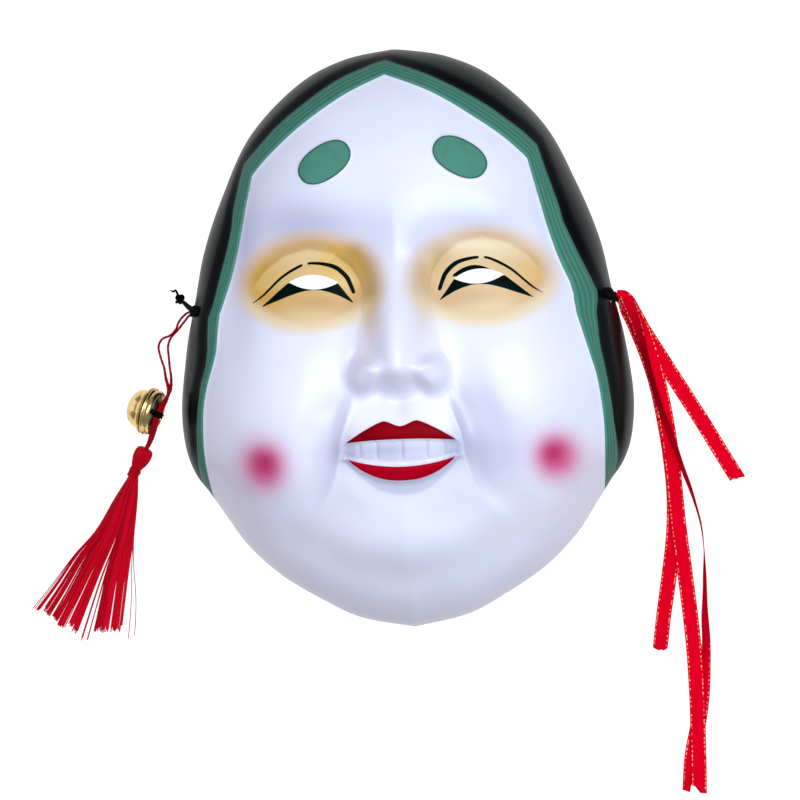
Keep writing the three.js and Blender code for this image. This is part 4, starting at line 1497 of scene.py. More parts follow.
@dataclass
class Elastic:
    """The black elastic: the band round the head, the turns at each side hole, and the knotted tail."""

    thickness: float = 1.3
    hole_y: float = 13.0
    ring: tuple[float, ...] = (80.4, 10.02, 1.9, 2.35, 6.17, 0.2)
    plan_slope: float = 0.235
    wall_line: tuple[tuple[float, float], ...] = (
        (4.6, 82.0), (8, 81.7), (11, 81.3), (14, 80.7), (17, 79.9), (19.5, 79.2), (21, 78.7), (23, 77.95), (25, 77.0),
    )
    route: tuple[Row, ...] = (
        (-77.3, 12.8, 5), (-75, 11.6, 2.4), (-71.5, 7, 0.85), (-65, -8, 0.8), (-56, -27, 0.8), (-43, -45, 0.8),
        (-25, -58, 0.8), (0, -63, 0.8), (25, -58, 0.8), (43, -45, 0.8), (56, -27, 0.8), (65, -8, 0.8),
        (71.5, 7, 0.85), (75, 11.6, 2.4), (77.3, 12.8, 5),
    )
    tail: tuple[Row, ...] = (
        (-81.9, 14.0, 11.0), (-83.2, 14.7, 8.4), (-84.6, 15.8, 5.2), (-86.1, 17.1, 2.7), (-87.2, 18.2, 1.9),
    )

    def band(self, cloth: Material) -> Object:
        """The stretch that goes round the wearer's head, lying slack under the mask.

        Args:
            cloth: the material of the elastic.

        Returns:
            The piece, ready.
        """
        line = even_line(self.route, 0.9)
        piece = tube("head_band", line, self.thickness / 2, 14)
        dress(piece, cloth, "black_elastic", "head_elastic")
        return piece

    def hitch(self, side: int, cloth: Material) -> Object:
        """Three turns of elastic through a side hole and round the rim, knotted over the hole.

        Args:
            side: -1 for the left hole, 1 for the right.
            cloth: the material of the elastic.

        Returns:
            The piece, ready.
        """
        x0, z0, outside, inside, up, lean = self.ring
        a = np.linspace(0, 2 * math.pi, 48, endpoint=False)
        parts = []
        for i, (offset, slant) in enumerate(((-1.2, 0.1), (0.0, -0.15), (1.2, 0.2))):
            z = up * np.sin(a)
            reach = np.where(np.cos(a) > 0, outside, -inside) * np.sqrt(np.abs(np.cos(a)))
            y = offset + slant * np.sin(a + 0.6) + 0.08 * np.sin(5 * a + i)
            x = x0 + reach - lean * z - self.plan_slope * y
            line = np.stack([side * x, self.hole_y + y, z0 + z], axis=1)
            parts.append(tube("turn", line, 0.6, 12, closed=True))
        # The knot: turns that lie against the wall and hold the legs together over the hole
        rows, wall = np.array(self.wall_line).T
        for i, (height, wide) in enumerate(((14.6, 1.35), (16.6, 1.6), (18.7, 1.7), (20.9, 1.6), (23.0, 1.2))):
            y = (1.2 if side > 0 else 0.0) + wide * np.sin(a)
            z = height + 0.45 * np.sin(a + 1.3 * i) + 0.25 * np.cos(2 * a)
            x = np.interp(z, rows, wall) + 0.45 + 0.35 * (1 + np.cos(a)) - self.plan_slope * y
            parts.append(tube("wrap", np.stack([side * x, self.hole_y + y, z], axis=1), 0.58, 12, closed=True))
        piece = join(f"elastic_turns_{'left' if side < 0 else 'right'}", parts)
        return dress(piece, cloth, "black_elastic", f"elastic_hitch_{'left' if side < 0 else 'right'}")

    def knotted_tail(self, cloth: Material) -> list[Object]:
        """The doubled end with its overhand knot and two short cut ends.

        Args:
            cloth: the material of the elastic.

        Returns:
            The doubled end and its knot.
        """
        middle = even_line(self.tail, 0.4)
        side, up = frames(middle)
        run = np.linspace(0, 1, len(middle))[:, None]
        turn = 0.4 + run * 1.2
        offset = mix(0.6, 0.45, run) * (side * np.cos(turn) + up * np.sin(turn))
        doubled = join("doubled_tail", [tube("leg", middle + s * offset, 0.58, 12) for s in (-1, 1)])
        t = np.linspace(0, 2 * math.pi, 120, endpoint=False)
        knot = np.stack([np.sin(t) + 2 * np.sin(2 * t), np.cos(t) - 2 * np.cos(2 * t), -np.sin(3 * t)], axis=1)
        knot = knot * (0.44, 0.52, 0.62) + (-87.5, 18.5, 1.85)
        bends = (
            (-88.2, 19.8, 2.0), (-88.6, 21.0, 2.2), (-89.2, 21.9, 2.2), (-89.8, 21.5, 1.8), (-90.5, 21.5, 1.3),
            (-91.2, 22.0, 0.9),
        )
        curl = even_line(bends, 0.3)
        short = even_line(((-88.2, 17.9, 1.5), (-88.8, 17.4, 1.2), (-89.3, 17.1, 1.0)), 0.3)
        taper = np.interp(np.linspace(0, 1, len(curl)), (0, 0.7, 1), (0.5, 0.42, 0.22))
        parts = [tube("knot", knot, 0.66, 12, closed=True), tube("curl", curl, taper, 10), tube("stub", short, 0.55, 10)]
        lump = join("stop_knot", parts)
        for piece, node in ((doubled, "elastic_tail_left"), (lump, "stopper_knot")):
            dress(piece, cloth, "black_elastic", node)
        return [doubled, lump]

    def build(self) -> list[Object]:
        """Builds the elastic from one length of the same cord."""
        cloth = BraidedElastic().build()
        return [self.band(cloth), self.hitch(-1, cloth), self.hitch(1, cloth), *self.knotted_tail(cloth)]


# ---- cord, bell and tassel


@dataclass
class BellCord:
    """The two thin red cords that leave the left hitch, pass the bell and end at the tassel."""

    thickness: float = 0.95
    upper: tuple[Row, ...] = (
        (-82.6, 13.2, 9.6), (-83.7, 12.9, 7.0), (-84.8, 12.6, 4.8), (-85.9, 11.9, 3.2), (-87.4, 10.6, 2),
        (-88.6, 8.9, 1.8),
        (-89.3, 7, 1.8), (-91.6, 4.5, 1.5), (-95.3, 2.9, 0.6), (-96.7, 0.2, 0.6), (-96.1, -3.9, 0.6),
        (-94.8, -8.4, 0.6),
    )
    lower: tuple[Row, ...] = (
        (-82.9, 11.9, 8.4), (-83.8, 11.5, 6.0), (-84.8, 10.8, 3.8), (-85.8, 9.8, 2.1), (-87.2, 8.4, 0.7),
        (-88.6, 6.7, 0.55),
        (-90.3, 5, 0.55), (-92, 3, 0.55), (-93, 0, 0.55), (-92.8, -5, 0.55), (-92.6, -8.4, 0.55),
    )
    joined: tuple[Row, ...] = (
        (-93.3, -11.4, 0.8), (-92.6, -16.5, 3.4), (-93.2, -20.3, 9), (-95.2, -24.7, 14.2), (-97.0, -28.7, 14.6),
        (-98.7, -33.3, 12.0), (-100.8, -37.2, 7.2), (-102.9, -40.3, 4),
    )
    pair_gap: float = 0.62
    pair_pitch: float = 62.0

    def strand(self, free: tuple[Row, ...], start: float) -> np.ndarray:
        """One cord's centreline: alone from the hitch, then twisted with the other one.

        Args:
            free: the points where it lies alone.
            start: the angle at which it enters the twist.

        Returns:
            Points at even steps, in millimetres.
        """
        middle = even_line(self.joined, 0.6)
        side, up = frames(middle)
        run = np.linspace(0, 1, len(middle))
        angle = (start + 2 * math.pi * run * line_length(middle) / self.pair_pitch)[:, None]
        gap = mix(1.1, self.pair_gap, smooth(0, 0.15, run))[:, None]
        pair = middle + gap * (side * np.cos(angle) + up * np.sin(angle))
        return even_line([*free, *map(tuple, pair)], 0.22)

    def build(self, on_it: Sequence[Object]) -> list[Object]:
        """Builds both cords.

        Args:
            on_it: the pieces that travel with the upper cord; not used.

        Returns:
            The pieces, ready.
        """
        rayon = TwistedCord().build()
        pieces = []
        strands = (("cord_upper", "strand_upper", self.upper), ("cord_lower", "strand_lower", self.lower))
        for name, node, route in strands:
            line = self.strand(route, 0.0 if node == "strand_upper" else math.pi)
            fuller = self.thickness / 2 * (1 + 0.5 * smooth(0.4, 0.55, np.linspace(0, 1, len(line))))
            piece = tube(name, line, fuller, 16, lobes=2, lobe_depth=0.12, pitch=4.5)
            dress(piece, rayon, "red_cord", node, 60)
            pieces.append(piece)
        return pieces


@dataclass
class Bell:
    """The pressed brass bell: a bowl with a sound slot, a cap crimped on it, its wire loop and its tie."""

    flange: float = 9.3
    dome: float = 7.65
    wall: float = 0.7
    tilt: float = 13.0
    heading: float = 160.7
    slot_turn: float = -55.0
    at: tuple[float, float] = (-100.3, -25.0)
    loop_height: float = -5.1

    def matrix(self) -> Matrix:
        """From the lathe's axis to the way the bell lies, dome out and down.

        Returns:
            The matrix that turns and moves the bell.
        """
        tilt = math.radians(self.tilt)
        height = self.flange * math.cos(tilt) + 1.4 * math.sin(tilt)
        lie = Matrix.Translation(Vector((self.at[0], self.at[1], height)) * MM)
        turn = Matrix.Rotation(math.radians(self.heading), 4, "Z") @ Matrix.Rotation(tilt, 4, "Y")
        return lie @ turn @ Matrix.Rotation(math.radians(90), 4, "Y")

    def bowl(self, brass: Material) -> Object:
        """The domed half with its rolled flange and the slot with round ends.

        Args:
            brass: the material of the bell.

        Returns:
            The piece, ready.
        """
        f, d, w = self.flange, self.dome, self.wall
        outer = [
            (f - 0.55, 0.15), (f - 0.12, 0.35), (f - 0.02, 0.75), (f - 0.15, 1.15), (f - 0.6, 1.4), (d + 0.35, 1.75),
            (d + 0.05, 2.2), (d, 2.8),
        ]
        outer += [(d * math.cos(math.radians(a)), 2.8 + 5.7 * math.sin(math.radians(a))) for a in range(8, 89, 8)]
        inner = [(max(0.0, r - w), h - w) for r, h in outer[7:]] + [(0.0, 7.8)]
        profile = [*outer, (0.0, 8.5), *inner[::-1], (d - w, 0.15)]
        bowl = lathe("bell_dome", profile, 72)
        bpy.ops.mesh.primitive_cube_add(size=1, location=(0, 0, 8.5 * MM))
        slot = bpy.context.object
        slot.rotation_euler.z = math.radians(self.slot_turn)
        slot.scale = (11.5 * MM, 1.3 * MM, 5 * MM)
        bpy.ops.object.transform_apply(location=True, rotation=True, scale=True)
        MaskShell.subtract(bowl, slot)
        turn = Vector((math.cos(math.radians(self.slot_turn)), math.sin(math.radians(self.slot_turn))))
        for end in (-1, 1):
            at = (end * 5.6 * MM * turn.x, end * 5.6 * MM * turn.y, 7 * MM)
            bpy.ops.mesh.primitive_cylinder_add(vertices=28, radius=1.3 * MM, depth=5 * MM, location=at)
            MaskShell.subtract(bowl, bpy.context.object)
        place(bowl, self.matrix())
        return dress(bowl, brass, "bell_brass", "bell_bowl", 35)

    def cap(self, brass: Material) -> Object:
        """The flatter half, whose edge is rolled over the bowl's flange.

        Args:
            brass: the material of the bell.

        Returns:
            The piece, ready.
        """
        f = self.flange
        outer = [
            (f - 0.5, -0.12), (f - 0.08, -0.3), (f, -0.6), (f - 0.14, -0.92), (f - 0.42, -1.12), (f - 0.52, -1.3),
            (f - 0.42, -1.6), (f - 0.45, -2.3), (f - 0.75, -3.0), (f - 1.3, -3.4), (f - 1.8, -3.3), (f - 2.15, -2.8),
            (f - 2.4, -2.0), (f - 3.1, -1.2), (f - 5.5, -1.0), (f - 7.8, -1.1), (f - 8.3, -1.6), (f - 8.5, -3.2),
            (f - 8.6, -4.5),
        ]
        profile = [*outer, (0.0, -4.7), (0.0, -0.4), (f - 2.6, -0.4), (f - 1.6, -0.25), (f - 1.6, -0.12)]
        cap = lathe("bell_back", profile, 72)
        co = np.array([v.co for v in cap.data.vertices]) / MM
        # Painted shade: how deep each point lies in the recess round the loop
        recess_shade_share = smooth(f - 1.7, f - 2.6, np.hypot(co[:, 0], co[:, 1])) * smooth(-3.6, -2.6, -np.abs(co[:, 2]))
        cap.data.attributes.new("recess_shade", "FLOAT", "POINT").data.foreach_set("value", recess_shade_share.astype(np.float32))
        place(cap, self.matrix())
        return dress(cap, brass, "bell_brass", "bell_cap", 35)

    def loop(self, brass: Material) -> Object:
        """The wire loop on the cap.

        Args:
            brass: the material of the bell.

        Returns:
            The piece, ready.
        """
        bpy.ops.mesh.primitive_torus_add(
            major_radius=1.2 * MM, minor_radius=0.35 * MM, major_segments=32, minor_segments=14,
            location=(0, 0, self.loop_height * MM), rotation=(math.pi / 2, 0, 0),
        )
        loop = bpy.context.object
        loop.name = "bell_loop"
        bpy.ops.object.transform_apply(location=True, rotation=True, scale=True)
        place(loop, self.matrix())
        return dress(loop, brass, "bell_brass", "bell_shank")

    def tie(self) -> Object:
        """Black thread wound round the two cords at the bell's loop.

        Returns:
            The piece, ready.
        """
        parts = []
        a = np.linspace(0, 2 * math.pi, 40, endpoint=False)
        heading = math.radians(-17)
        for offset, slant in ((-0.9, 0.1), (-0.45, -0.1), (0.0, -0.12), (0.45, 0.12), (0.9, 0.15)):
            x, z = 1.6 * np.cos(a), 1.75 * np.sin(a)
            y = offset + slant * np.sin(a)
            along, aside = math.cos(heading), math.sin(heading)
            line = np.stack([x * along - y * aside, x * aside + y * along, z], axis=1)
            parts.append(tube("thread", line + (-96.15, -26.6, 14.1), 0.36, 8, closed=True))
        tie = join("bell_thread", parts)
        return dress(tie, BraidedElastic(stitch=0.3).build(), "black_thread", "bell_tie")

    def build(self) -> list[Object]:
        """Builds the bell."""
        brass = PressedBrass().build()
        return [self.bowl(brass), self.cap(brass), self.loop(brass), self.tie()]


@dataclass
class Tassel:
    """The tassel: a head of folded threads, a wound neck and a fanned skirt of loose threads."""

    at: tuple[float, float, float] = (-102.4, -39.2, 3.9)
    heading: float = 241.0
    left: tuple[Row, ...] = (
        (-109.3, -48.6), (-110.7, -51.2), (-116.4, -59.4), (-123.7, -70.9), (-132.2, -80.4), (-140.2, -91.3),
        (-148.6, -101.6),
    )
    right: tuple[Row, ...] = (
        (-106.4, -49.0), (-106.6, -51.4), (-107.1, -59.7), (-109.1, -73.7), (-111.5, -86.2), (-113.5, -99),
        (-115.8, -115),
    )
    # Each lock: where it ends, from left to right, and how far down it parts from its neighbours
    locks: tuple[Row, ...] = (
        (0.0, 0.035, 0.25), (0.06, 0.15, 0.4), (0.175, 0.26, 0.66), (0.275, 0.365, 0.74), (0.39, 0.455, 0.8),
        (0.47, 0.525, 0.55), (0.59, 0.605, 0.5), (0.655, 0.665, 0.45), (0.71, 0.795, 0.6), (0.80, 0.87, 0.86),
        (0.89, 1.0, 0.76),
    )
    threads: int = 250
    thread: float = 0.44
    seed: int = 11

    def matrix(self, drop: float) -> Matrix:
        """From the lathe's axis to the way the tassel points."""
        turn = Matrix.Rotation(math.radians(self.heading), 4, "Z") @ Matrix.Rotation(math.radians(drop), 4, "Y")
        return Matrix.Translation(Vector(self.at) * MM) @ turn @ Matrix.Rotation(math.radians(90), 4, "Y")

    def ridged(
        self, name: str, profile: Sequence[tuple[float, float]], ridges: int, depth: float, lean: float
    ) -> Object:
        """A turned body whose surface is drawn into threads that run down it.

        Args:
            name: the name of the piece.
            profile: radius and height of each point of the outline.
            ridges: how many ridges go round.
            depth: how deep the ridges are.
            lean: how far they lean.

        Returns:
            The body.
        """
        rh = np.array(profile)
        t = np.linspace(0, 1, 40)
        line = spline(profile, t)
        theta = np.linspace(0, 2 * math.pi, ridges * 6, endpoint=False)
        wave = np.abs(np.cos(ridges * (theta[None, :] + lean * t[:, None]) / 2))
        r = np.maximum(line[:, :1] * (1 - depth + depth * wave), 0.02)
        rings = np.stack([r * np.cos(theta), r * np.sin(theta), np.broadcast_to(line[:, 1:2], r.shape)], axis=2)
        obj = loft(name, rings, along=line[:, 1] - rh[0, 1])
        return obj

    def head(self, silk: Material) -> Object:
        """The head, a bundle of threads folded over the cord.

        Args:
            silk: the material of the threads.

        Returns:
            The piece, ready.
        """
        outline = ((0.3, 0.35), (2.1, 0.4), (3.25, 1.3), (3.6, 3.0), (3.5, 4.8), (2.9, 7.0), (2.2, 8.7), (2.1, 9.1))
        head = self.ridged("tassel_knob", outline, 22, 0.12, 0.35)
        place(head, self.matrix(4))
        write_values(head.data, "thread_tone", np.full(len(head.data.vertices), 0.45))
        return dress(head, silk, "red_silk", "tassel_head", 60)

    def neck(self, silk: Material) -> Object:
        """The neck, wound with six turns of the same thread.

        Args:
            silk: the material of the threads.

        Returns:
            The piece, ready.
        """
        parts = []
        a = np.linspace(0, 2 * math.pi, 40, endpoint=False)
        for i in range(6):
            radius = 2.0 + 0.12 * math.sin(i * 1.3)
            line = np.stack([radius * np.cos(a), radius * np.sin(a), 9.75 + 0.58 * i + 0.12 * np.sin(a + i)], axis=1)
            parts.append(tube("winding", line, 0.33, 8, closed=True))
        parts.append(self.ridged("core", ((1.9, 9.2), (1.95, 11), (1.9, 13.2)), 16, 0.05, 0.1))
        neck = join("tassel_neck", parts)
        place(neck, self.matrix(6))
        write_values(neck.data, "thread_tone", np.full(len(neck.data.vertices), 0.3))
        return dress(neck, silk, "red_silk", "tassel_binding", 60)

    @staticmethod
    def circles(line: np.ndarray, radius: float, section: np.ndarray) -> np.ndarray:
        """The outline of one thread, round by round.

        Args:
            line: the points of the thread.
            radius: half its thickness.
            section: the angles of the points of one round.

        Returns:
            The points of each round.
        """
        side, up = frames(line)
        return line[:, None, :] + radius * (
            side[:, None, :] * np.cos(section)[None, :, None] + up[:, None, :] * np.sin(section)[None, :, None]
        )

    def skirt(self, silk: Material) -> Object:
        """The skirt: locks of loose thread that fan out on the floor, ragged at the cut.

        Args:
            silk: the material of the threads.

        Returns:
            The piece, ready.
        """
        rng = random.Random(self.seed)
        count = 26
        s = np.linspace(0, 1, count)
        left, right = spline(self.left, s), spline(self.right, s)
        rings, tones = [], []
        section = np.linspace(0, 2 * math.pi, 5, endpoint=False)
        widths = np.array([high - low for low, high, _ in self.locks])
        starts = np.concatenate([[0.0], np.cumsum(widths / widths.sum())])
        for lock, (low, high, parts_at) in enumerate(self.locks):
            lift = 0.35 + 1.5 * rng.random()
            lock_tone = rng.random()
            reach = 0.955 + 0.03 * rng.uniform(-1, 1)
            for _ in range(max(2, round(self.threads * widths[lock] / widths.sum()))):
                share = rng.random()
                place_in = mix(starts[lock], starts[lock + 1], share)
                run = s * (reach + 0.015 * rng.uniform(-1, 1))
                across = clamp01(mix(place_in, mix(low, high, share), smooth(parts_at - 0.2, 1.0, run)))
                edges = ((np.interp(run, s, left[:, k]), np.interp(run, s, right[:, k])) for k in (0, 1))
                base = np.stack([a * (1 - across) + b * across for a, b in edges], axis=1)
                bow = np.sin(math.pi * across) * 6 * run**2
                base[:, 0] -= 0.45 * bow
                base[:, 1] -= 0.9 * bow
                wobble = 0.2 * np.sin(run * rng.uniform(3, 8) + rng.uniform(0, 6)) * run
                base[:, 0] += wobble
                round_ = math.sin(math.pi * min(0.97, max(0.03, place_in)))
                start = 4.1 * math.sqrt(max(0.05, round_)) * rng.uniform(0.25, 1.0)
                z = 0.25 + start * (1 - run) ** 1.2 + lift * (1 - 0.55 * run) * math.sqrt(round_)
                line = np.column_stack([base, z])
                ring = self.circles(line, self.thread / 2, section)
                rings.append(ring)
                tones.append(np.full(ring.shape[0] * ring.shape[1], 0.15 + 0.35 * lock_tone + 0.5 * rng.random()))
        # A few stray threads stand off at both sides
        strays = ((left, -1.3, 1.1), (left, -2.3, 2.0), (left, 1.4, -2.2), (right, 4.6, 4.2), (right, 2.4, 3.4))
        for edge_line, shift, bend in strays:
            run = s * rng.uniform(0.95, 0.99)
            base = np.stack([np.interp(run, s, edge_line[:, k]) for k in (0, 1)], axis=1)
            out = smooth(0.45, 1.0, run)
            base[:, 0] += shift * out + 0.3 * bend * np.sin(2.6 * run) * out
            rings.append(self.circles(np.column_stack([base, 0.3 + 1.2 * (1 - run)]), 0.16, section))
            tones.append(np.full(count * len(section), 0.4))
        faces, points = [], []
        for k, ring in enumerate(rings):
            points.append(ring.reshape(-1, 3))
            faces += ring_faces(count, len(section), k * count * len(section))
        skirt = mesh_piece("tassel_threads", np.vstack(points), faces)
        edit(skirt, outward)
        write_values(skirt.data, "thread_tone", np.concatenate(tones))
        return dress(skirt, silk, "red_silk", "tassel_skirt", 80)

    def build(self) -> list[Object]:
        """Builds the tassel."""
        silk = SilkThread().build()
        return [self.head(silk), self.neck(silk), self.skirt(silk)]


# ---- ribbons


class RibbonEnd(Enum):
    """How a ribbon's end is cut."""

    JAGGED = "jagged"
    STEPPED = "stepped"
    FRAYED = "frayed"
    PLAIN = "plain"


@dataclass
class Ribbon:
    """One tail of satin ribbon with gold stitches along both edges."""

    name: str
    node: str
    stations: tuple[Row, ...]
    end: RibbonEnd
    width: float = 6.0
    thick: float = 0.3
    stitch_pitch: float = 1.75
    stitch_long: float = 1.35
    stitch_inset: float = 0.55

    def sample(self, step: float) -> tuple[np.ndarray, np.ndarray, np.ndarray, np.ndarray]:
        """The middle line, the direction across, the face's normal and the distance along.

        Args:
            step: the length of one step, in millimetres.

        Returns:
            The line, the directions across, the normals and the distances.
        """
        params = np.linspace(0, 1, 40 * len(self.stations))
        middle = centripetal([s[:3] for s in self.stations], params)
        twist = np.radians(spline([(i, s[3]) for i, s in enumerate(self.stations)], params)[:, 1])
        run = np.concatenate([[0], np.cumsum(np.linalg.norm(np.diff(middle, axis=0), axis=1))])
        marks = np.linspace(0, run[-1], round(run[-1] / step) + 1)
        middle = np.stack([np.interp(marks, run, middle[:, k]) for k in range(3)], axis=1)
        twist = np.interp(marks, run, twist)
        tangent = np.gradient(middle, axis=0)
        tangent /= np.linalg.norm(tangent, axis=1)[:, None]
        flat = np.stack([tangent[:, 1], -tangent[:, 0], np.zeros(len(tangent))], axis=1)
        flat /= np.linalg.norm(flat, axis=1)[:, None]
        lifted = np.cross(tangent, flat)
        across = flat * np.cos(twist)[:, None] + lifted * np.sin(twist)[:, None]
        return middle, across, np.cross(across, tangent), marks

    @staticmethod
    def gather(run: np.ndarray) -> np.ndarray:
        """How wide the ribbon lies where it is gathered into the knot, as a share of its width."""
        return mix(0.3, 1.0, smooth(-1.5, 7.5, run))

    def cut(self, u: np.ndarray) -> np.ndarray:
        """How far the end stands out at each place across, from -1 to 1.

        Args:
            u: the place across the ribbon, from -1 to 1.

        Returns:
            The distance that the end stands out.
        """
        if self.end is RibbonEnd.STEPPED:
            return np.where(u < 0.0, -0.3 * u, -1.9 - 1.3 * u)
        if self.end is RibbonEnd.FRAYED:
            return -1.0 + 0.9 * (1 - u * u) + 0.3 * np.sin(9 * u)
        if self.end is RibbonEnd.JAGGED:
            return -0.8 * u + 0.35 * np.sin(7 * u + 1) - 0.6
        return -0.4 * u

    def cloth(self, satin: Material) -> Object:
        """The woven strip, slightly cupped, as a thin closed body.

        Args:
            satin: the material of the ribbon.

        Returns:
            The strip.
        """
        middle, across, normal, run = self.sample(1.2)
        u = np.linspace(-1, 1, 13)
        cup = 0.12 * (u * u - 0.4)[None, :] * np.sin(run / 17)[:, None]
        ripple = 0.07 * np.sin(run[:, None] / 3.1 + 2.2 * u[None, :])
        half_wide = self.width / 2 * self.gather(run)[:, None] * u[None, :]
        base = middle[:, None, :] + across[:, None, :] * half_wide[:, :, None]
        base = base + normal[:, None, :] * (cup + ripple)[:, :, None]
        tangent = middle[-1] - middle[-2]
        tangent = tangent / np.linalg.norm(tangent)
        for back in range(6):
            base[-1 - back] += tangent * (self.cut(u) * (1 - back / 6))[:, None]
        half = self.thick / 2 * np.minimum(1, (1.02 - np.abs(u)) * 9)[None, :, None]
        rings = np.concatenate([base + normal[:, None, :] * half, (base - normal[:, None, :] * half)[:, ::-1]], axis=1)
        strip = loft(self.name, rings, along=run)
        layer = strip.data.uv_layers["surface"]
        corner = np.empty(len(strip.data.loops), dtype=np.int32)
        strip.data.loops.foreach_get("vertex_index", corner)
        place_across = np.tile(np.concatenate([u, u[::-1]]) * self.width / 2 * MM, len(run))
        uv = np.stack([place_across, np.repeat(run, 26) * MM], axis=1)
        layer.data.foreach_set("uv", uv[corner].astype(np.float32).ravel())
        coat(strip, satin)
        return strip

    def stitches(self, gold: Material, seed: int) -> Object:
        """The gold running stitch near both edges, on both faces.

        Args:
            gold: the material of the stitches.
            seed: the start of the random draws.

        Returns:
            The stitches.
        """
        rng = random.Random(seed)
        middle, across, normal, run = self.sample(0.25)
        points, faces = [], []
        reach = self.width / 2 - self.stitch_inset
        count = int((run[-1] - 1.2) / self.stitch_pitch)
        for edge in (-1, 1):
            for k in range(count):
                for face in (-1, 1):
                    start = (k + (0.5 if face > 0 else 0.0)) * self.stitch_pitch + rng.uniform(-0.3, 0.3) + 0.4
                    length = self.stitch_long * rng.uniform(0.4, 1.15)
                    marks = start + np.array((0.0, 0.2, 0.8, 1.0)) * length
                    at = np.clip(np.searchsorted(run, marks), 0, len(run) - 1)
                    worn_off = rng.random() < 0.08 or abs(across[at[0]][2]) > 0.86
                    if worn_off or marks[-1] > run[-1] - 0.6:
                        continue
                    lift = face * (self.thick / 2 + np.array((-0.05, 0.1, 0.1, -0.05)))
                    side = edge * reach * self.gather(run[at]) + rng.uniform(-0.08, 0.08)
                    wave = 0.07 * np.sin(run[at] / 3.1 + 2.2 * edge)
                    cup = 0.12 * ((reach / (self.width / 2)) ** 2 - 0.4) * np.sin(run[at] / 17)
                    line = middle[at] + across[at] * side[:, None] + normal[at] * (lift + wave + cup)[:, None]
                    half = np.array((0.08, 0.19, 0.19, 0.08))[:, None]
                    thick = np.array((0.03, 0.09, 0.09, 0.03))[:, None]
                    aside, out = across[at] * half, normal[at] * face * thick
                    ring = np.stack([line - aside, line + out, line + aside, line - out], axis=1)
                    faces += ring_faces(4, 4, len(points) * 16)
                    points.append(ring.reshape(-1, 3))
        thread = mesh_piece("stitches", np.vstack(points), faces)
        edit(thread, outward)
        coat(thread, gold)
        return thread

    def build(self, satin: Material, gold: Material, seed: int) -> Object:
        """Args:
            satin: the material of the ribbon.
            gold: the material of the stitches.
            seed: the start of the random draws.

        Returns:
            The piece, ready.
        """
        piece = join(self.name, [self.cloth(satin), self.stitches(gold, seed)])
        smooth_shade(piece, 50)
        ride(piece, "red_ribbon", self.node)
        middle, _, _, run = self.sample(2.0)
        return piece


@dataclass
class RibbonBunch:
    """The four ribbon tails that hang from the right hitch."""

    tails: tuple[Ribbon, ...] = (
        Ribbon("ribbon_short_tail", "ribbon_short", (
            (82.9, 13.2, 6.0, 10), (84.9, 12.4, 5.2, 12), (86.4, 10.8, 4.2, 12), (89.5, 5.6, 3, 8), (92.5, 0.4, 1.8, 3),
            (95.9, -5.3, 1.1, 0), (99.6, -11.5, 1, 0),
            (103.2, -17.6, 0.7, 0), (109.3, -27.8, 0.5, 0), (115, -37.4, 0.5, 0), (121.3, -48.6, 0.5, 0),
            (127.6, -59.5, 0.5, 0),
        ), RibbonEnd.JAGGED),
        Ribbon("ribbon_long_tail", "ribbon_long", (
            (82.9, 13.8, 7.4, 12), (85.0, 13.2, 6.8, 14), (86.8, 11.6, 5.8, 14), (88.9, 7.6, 5, 12),
            (92.3, 0.6, 3.8, 8),
            (94.5, -6.4, 2.8, 4),
            (96.4, -13.7, 2.1, 0), (98.2, -22, 1.7, 0), (100.3, -34, 1.4, 0), (102.1, -49.6, 1.4, 0),
            (103.9, -76.2, 1.4, 0), (105.8, -96, 1.5, 0), (107.6, -116, 1.6, 0), (108.2, -126, 2.1, 0),
            (108.5, -136, 3, 0), (108.7, -147, 2.45, 0), (108.6, -157, 2.2, 0), (108.5, -167, 2.65, 0),
            (108.2, -180.6, 1.6, 0),
        ), RibbonEnd.STEPPED),
        Ribbon("ribbon_frayed_tail", "ribbon_frayed", (
            (82.8, 12.4, 4.8, 8), (84.8, 11.3, 3.8, 8), (86.2, 9.4, 2.9, 8), (89, 3.6, 1.7, 4), (91.6, -3, 0.7, 0),
            (94.4, -11, 0.4, 0), (97, -20, 0.4, 0),
            (99.6, -34, 0.4, 0), (101.6, -49, 0.4, 0), (102.6, -64, 0.4, 0), (101.9, -80, 0.45, 0),
            (99.5, -96.4, 0.7, 8), (97, -111, 1, 15), (95, -124.8, 1.2, 18),
        ), RibbonEnd.FRAYED),
        Ribbon("ribbon_twisted_tail", "ribbon_twisted", (
            (83.0, 14.4, 9.2, 14), (85.4, 13.8, 8.8, 18), (87.2, 11.4, 8.2, 24), (89.6, 4.8, 7.4, 38),
            (92.1, -4.6, 6.6, 60),
            (95.1, -17.4, 5.6, 72),
            (98, -29, 5.1, 68), (102.2, -42, 4.9, 67), (106, -54, 4.6, 74), (109.9, -66, 3.7, 80),
            (112.4, -76, 3.3, 88), (113.3, -85, 3.3, 90), (113.2, -99, 3.3, 78), (112.9, -112, 3.1, 66),
            (112.9, -124, 2.8, 56), (111.7, -134, 2, 34), (110.4, -145, 0.95, 10), (108.6, -155, 0.6, -4),
            (105.8, -166, 1.5, -24), (104.3, -173.4, 2.4, -44), (103.3, -179.6, 2.9, -58),
        ), RibbonEnd.PLAIN),
    )

    def build(self) -> list[Object]:
        """Builds the four tails."""
        satin, gold = SatinRibbon().build(), GoldThread().build()
        return [tail.build(satin, gold, seed) for seed, tail in enumerate(self.tails)]


# ---- studio


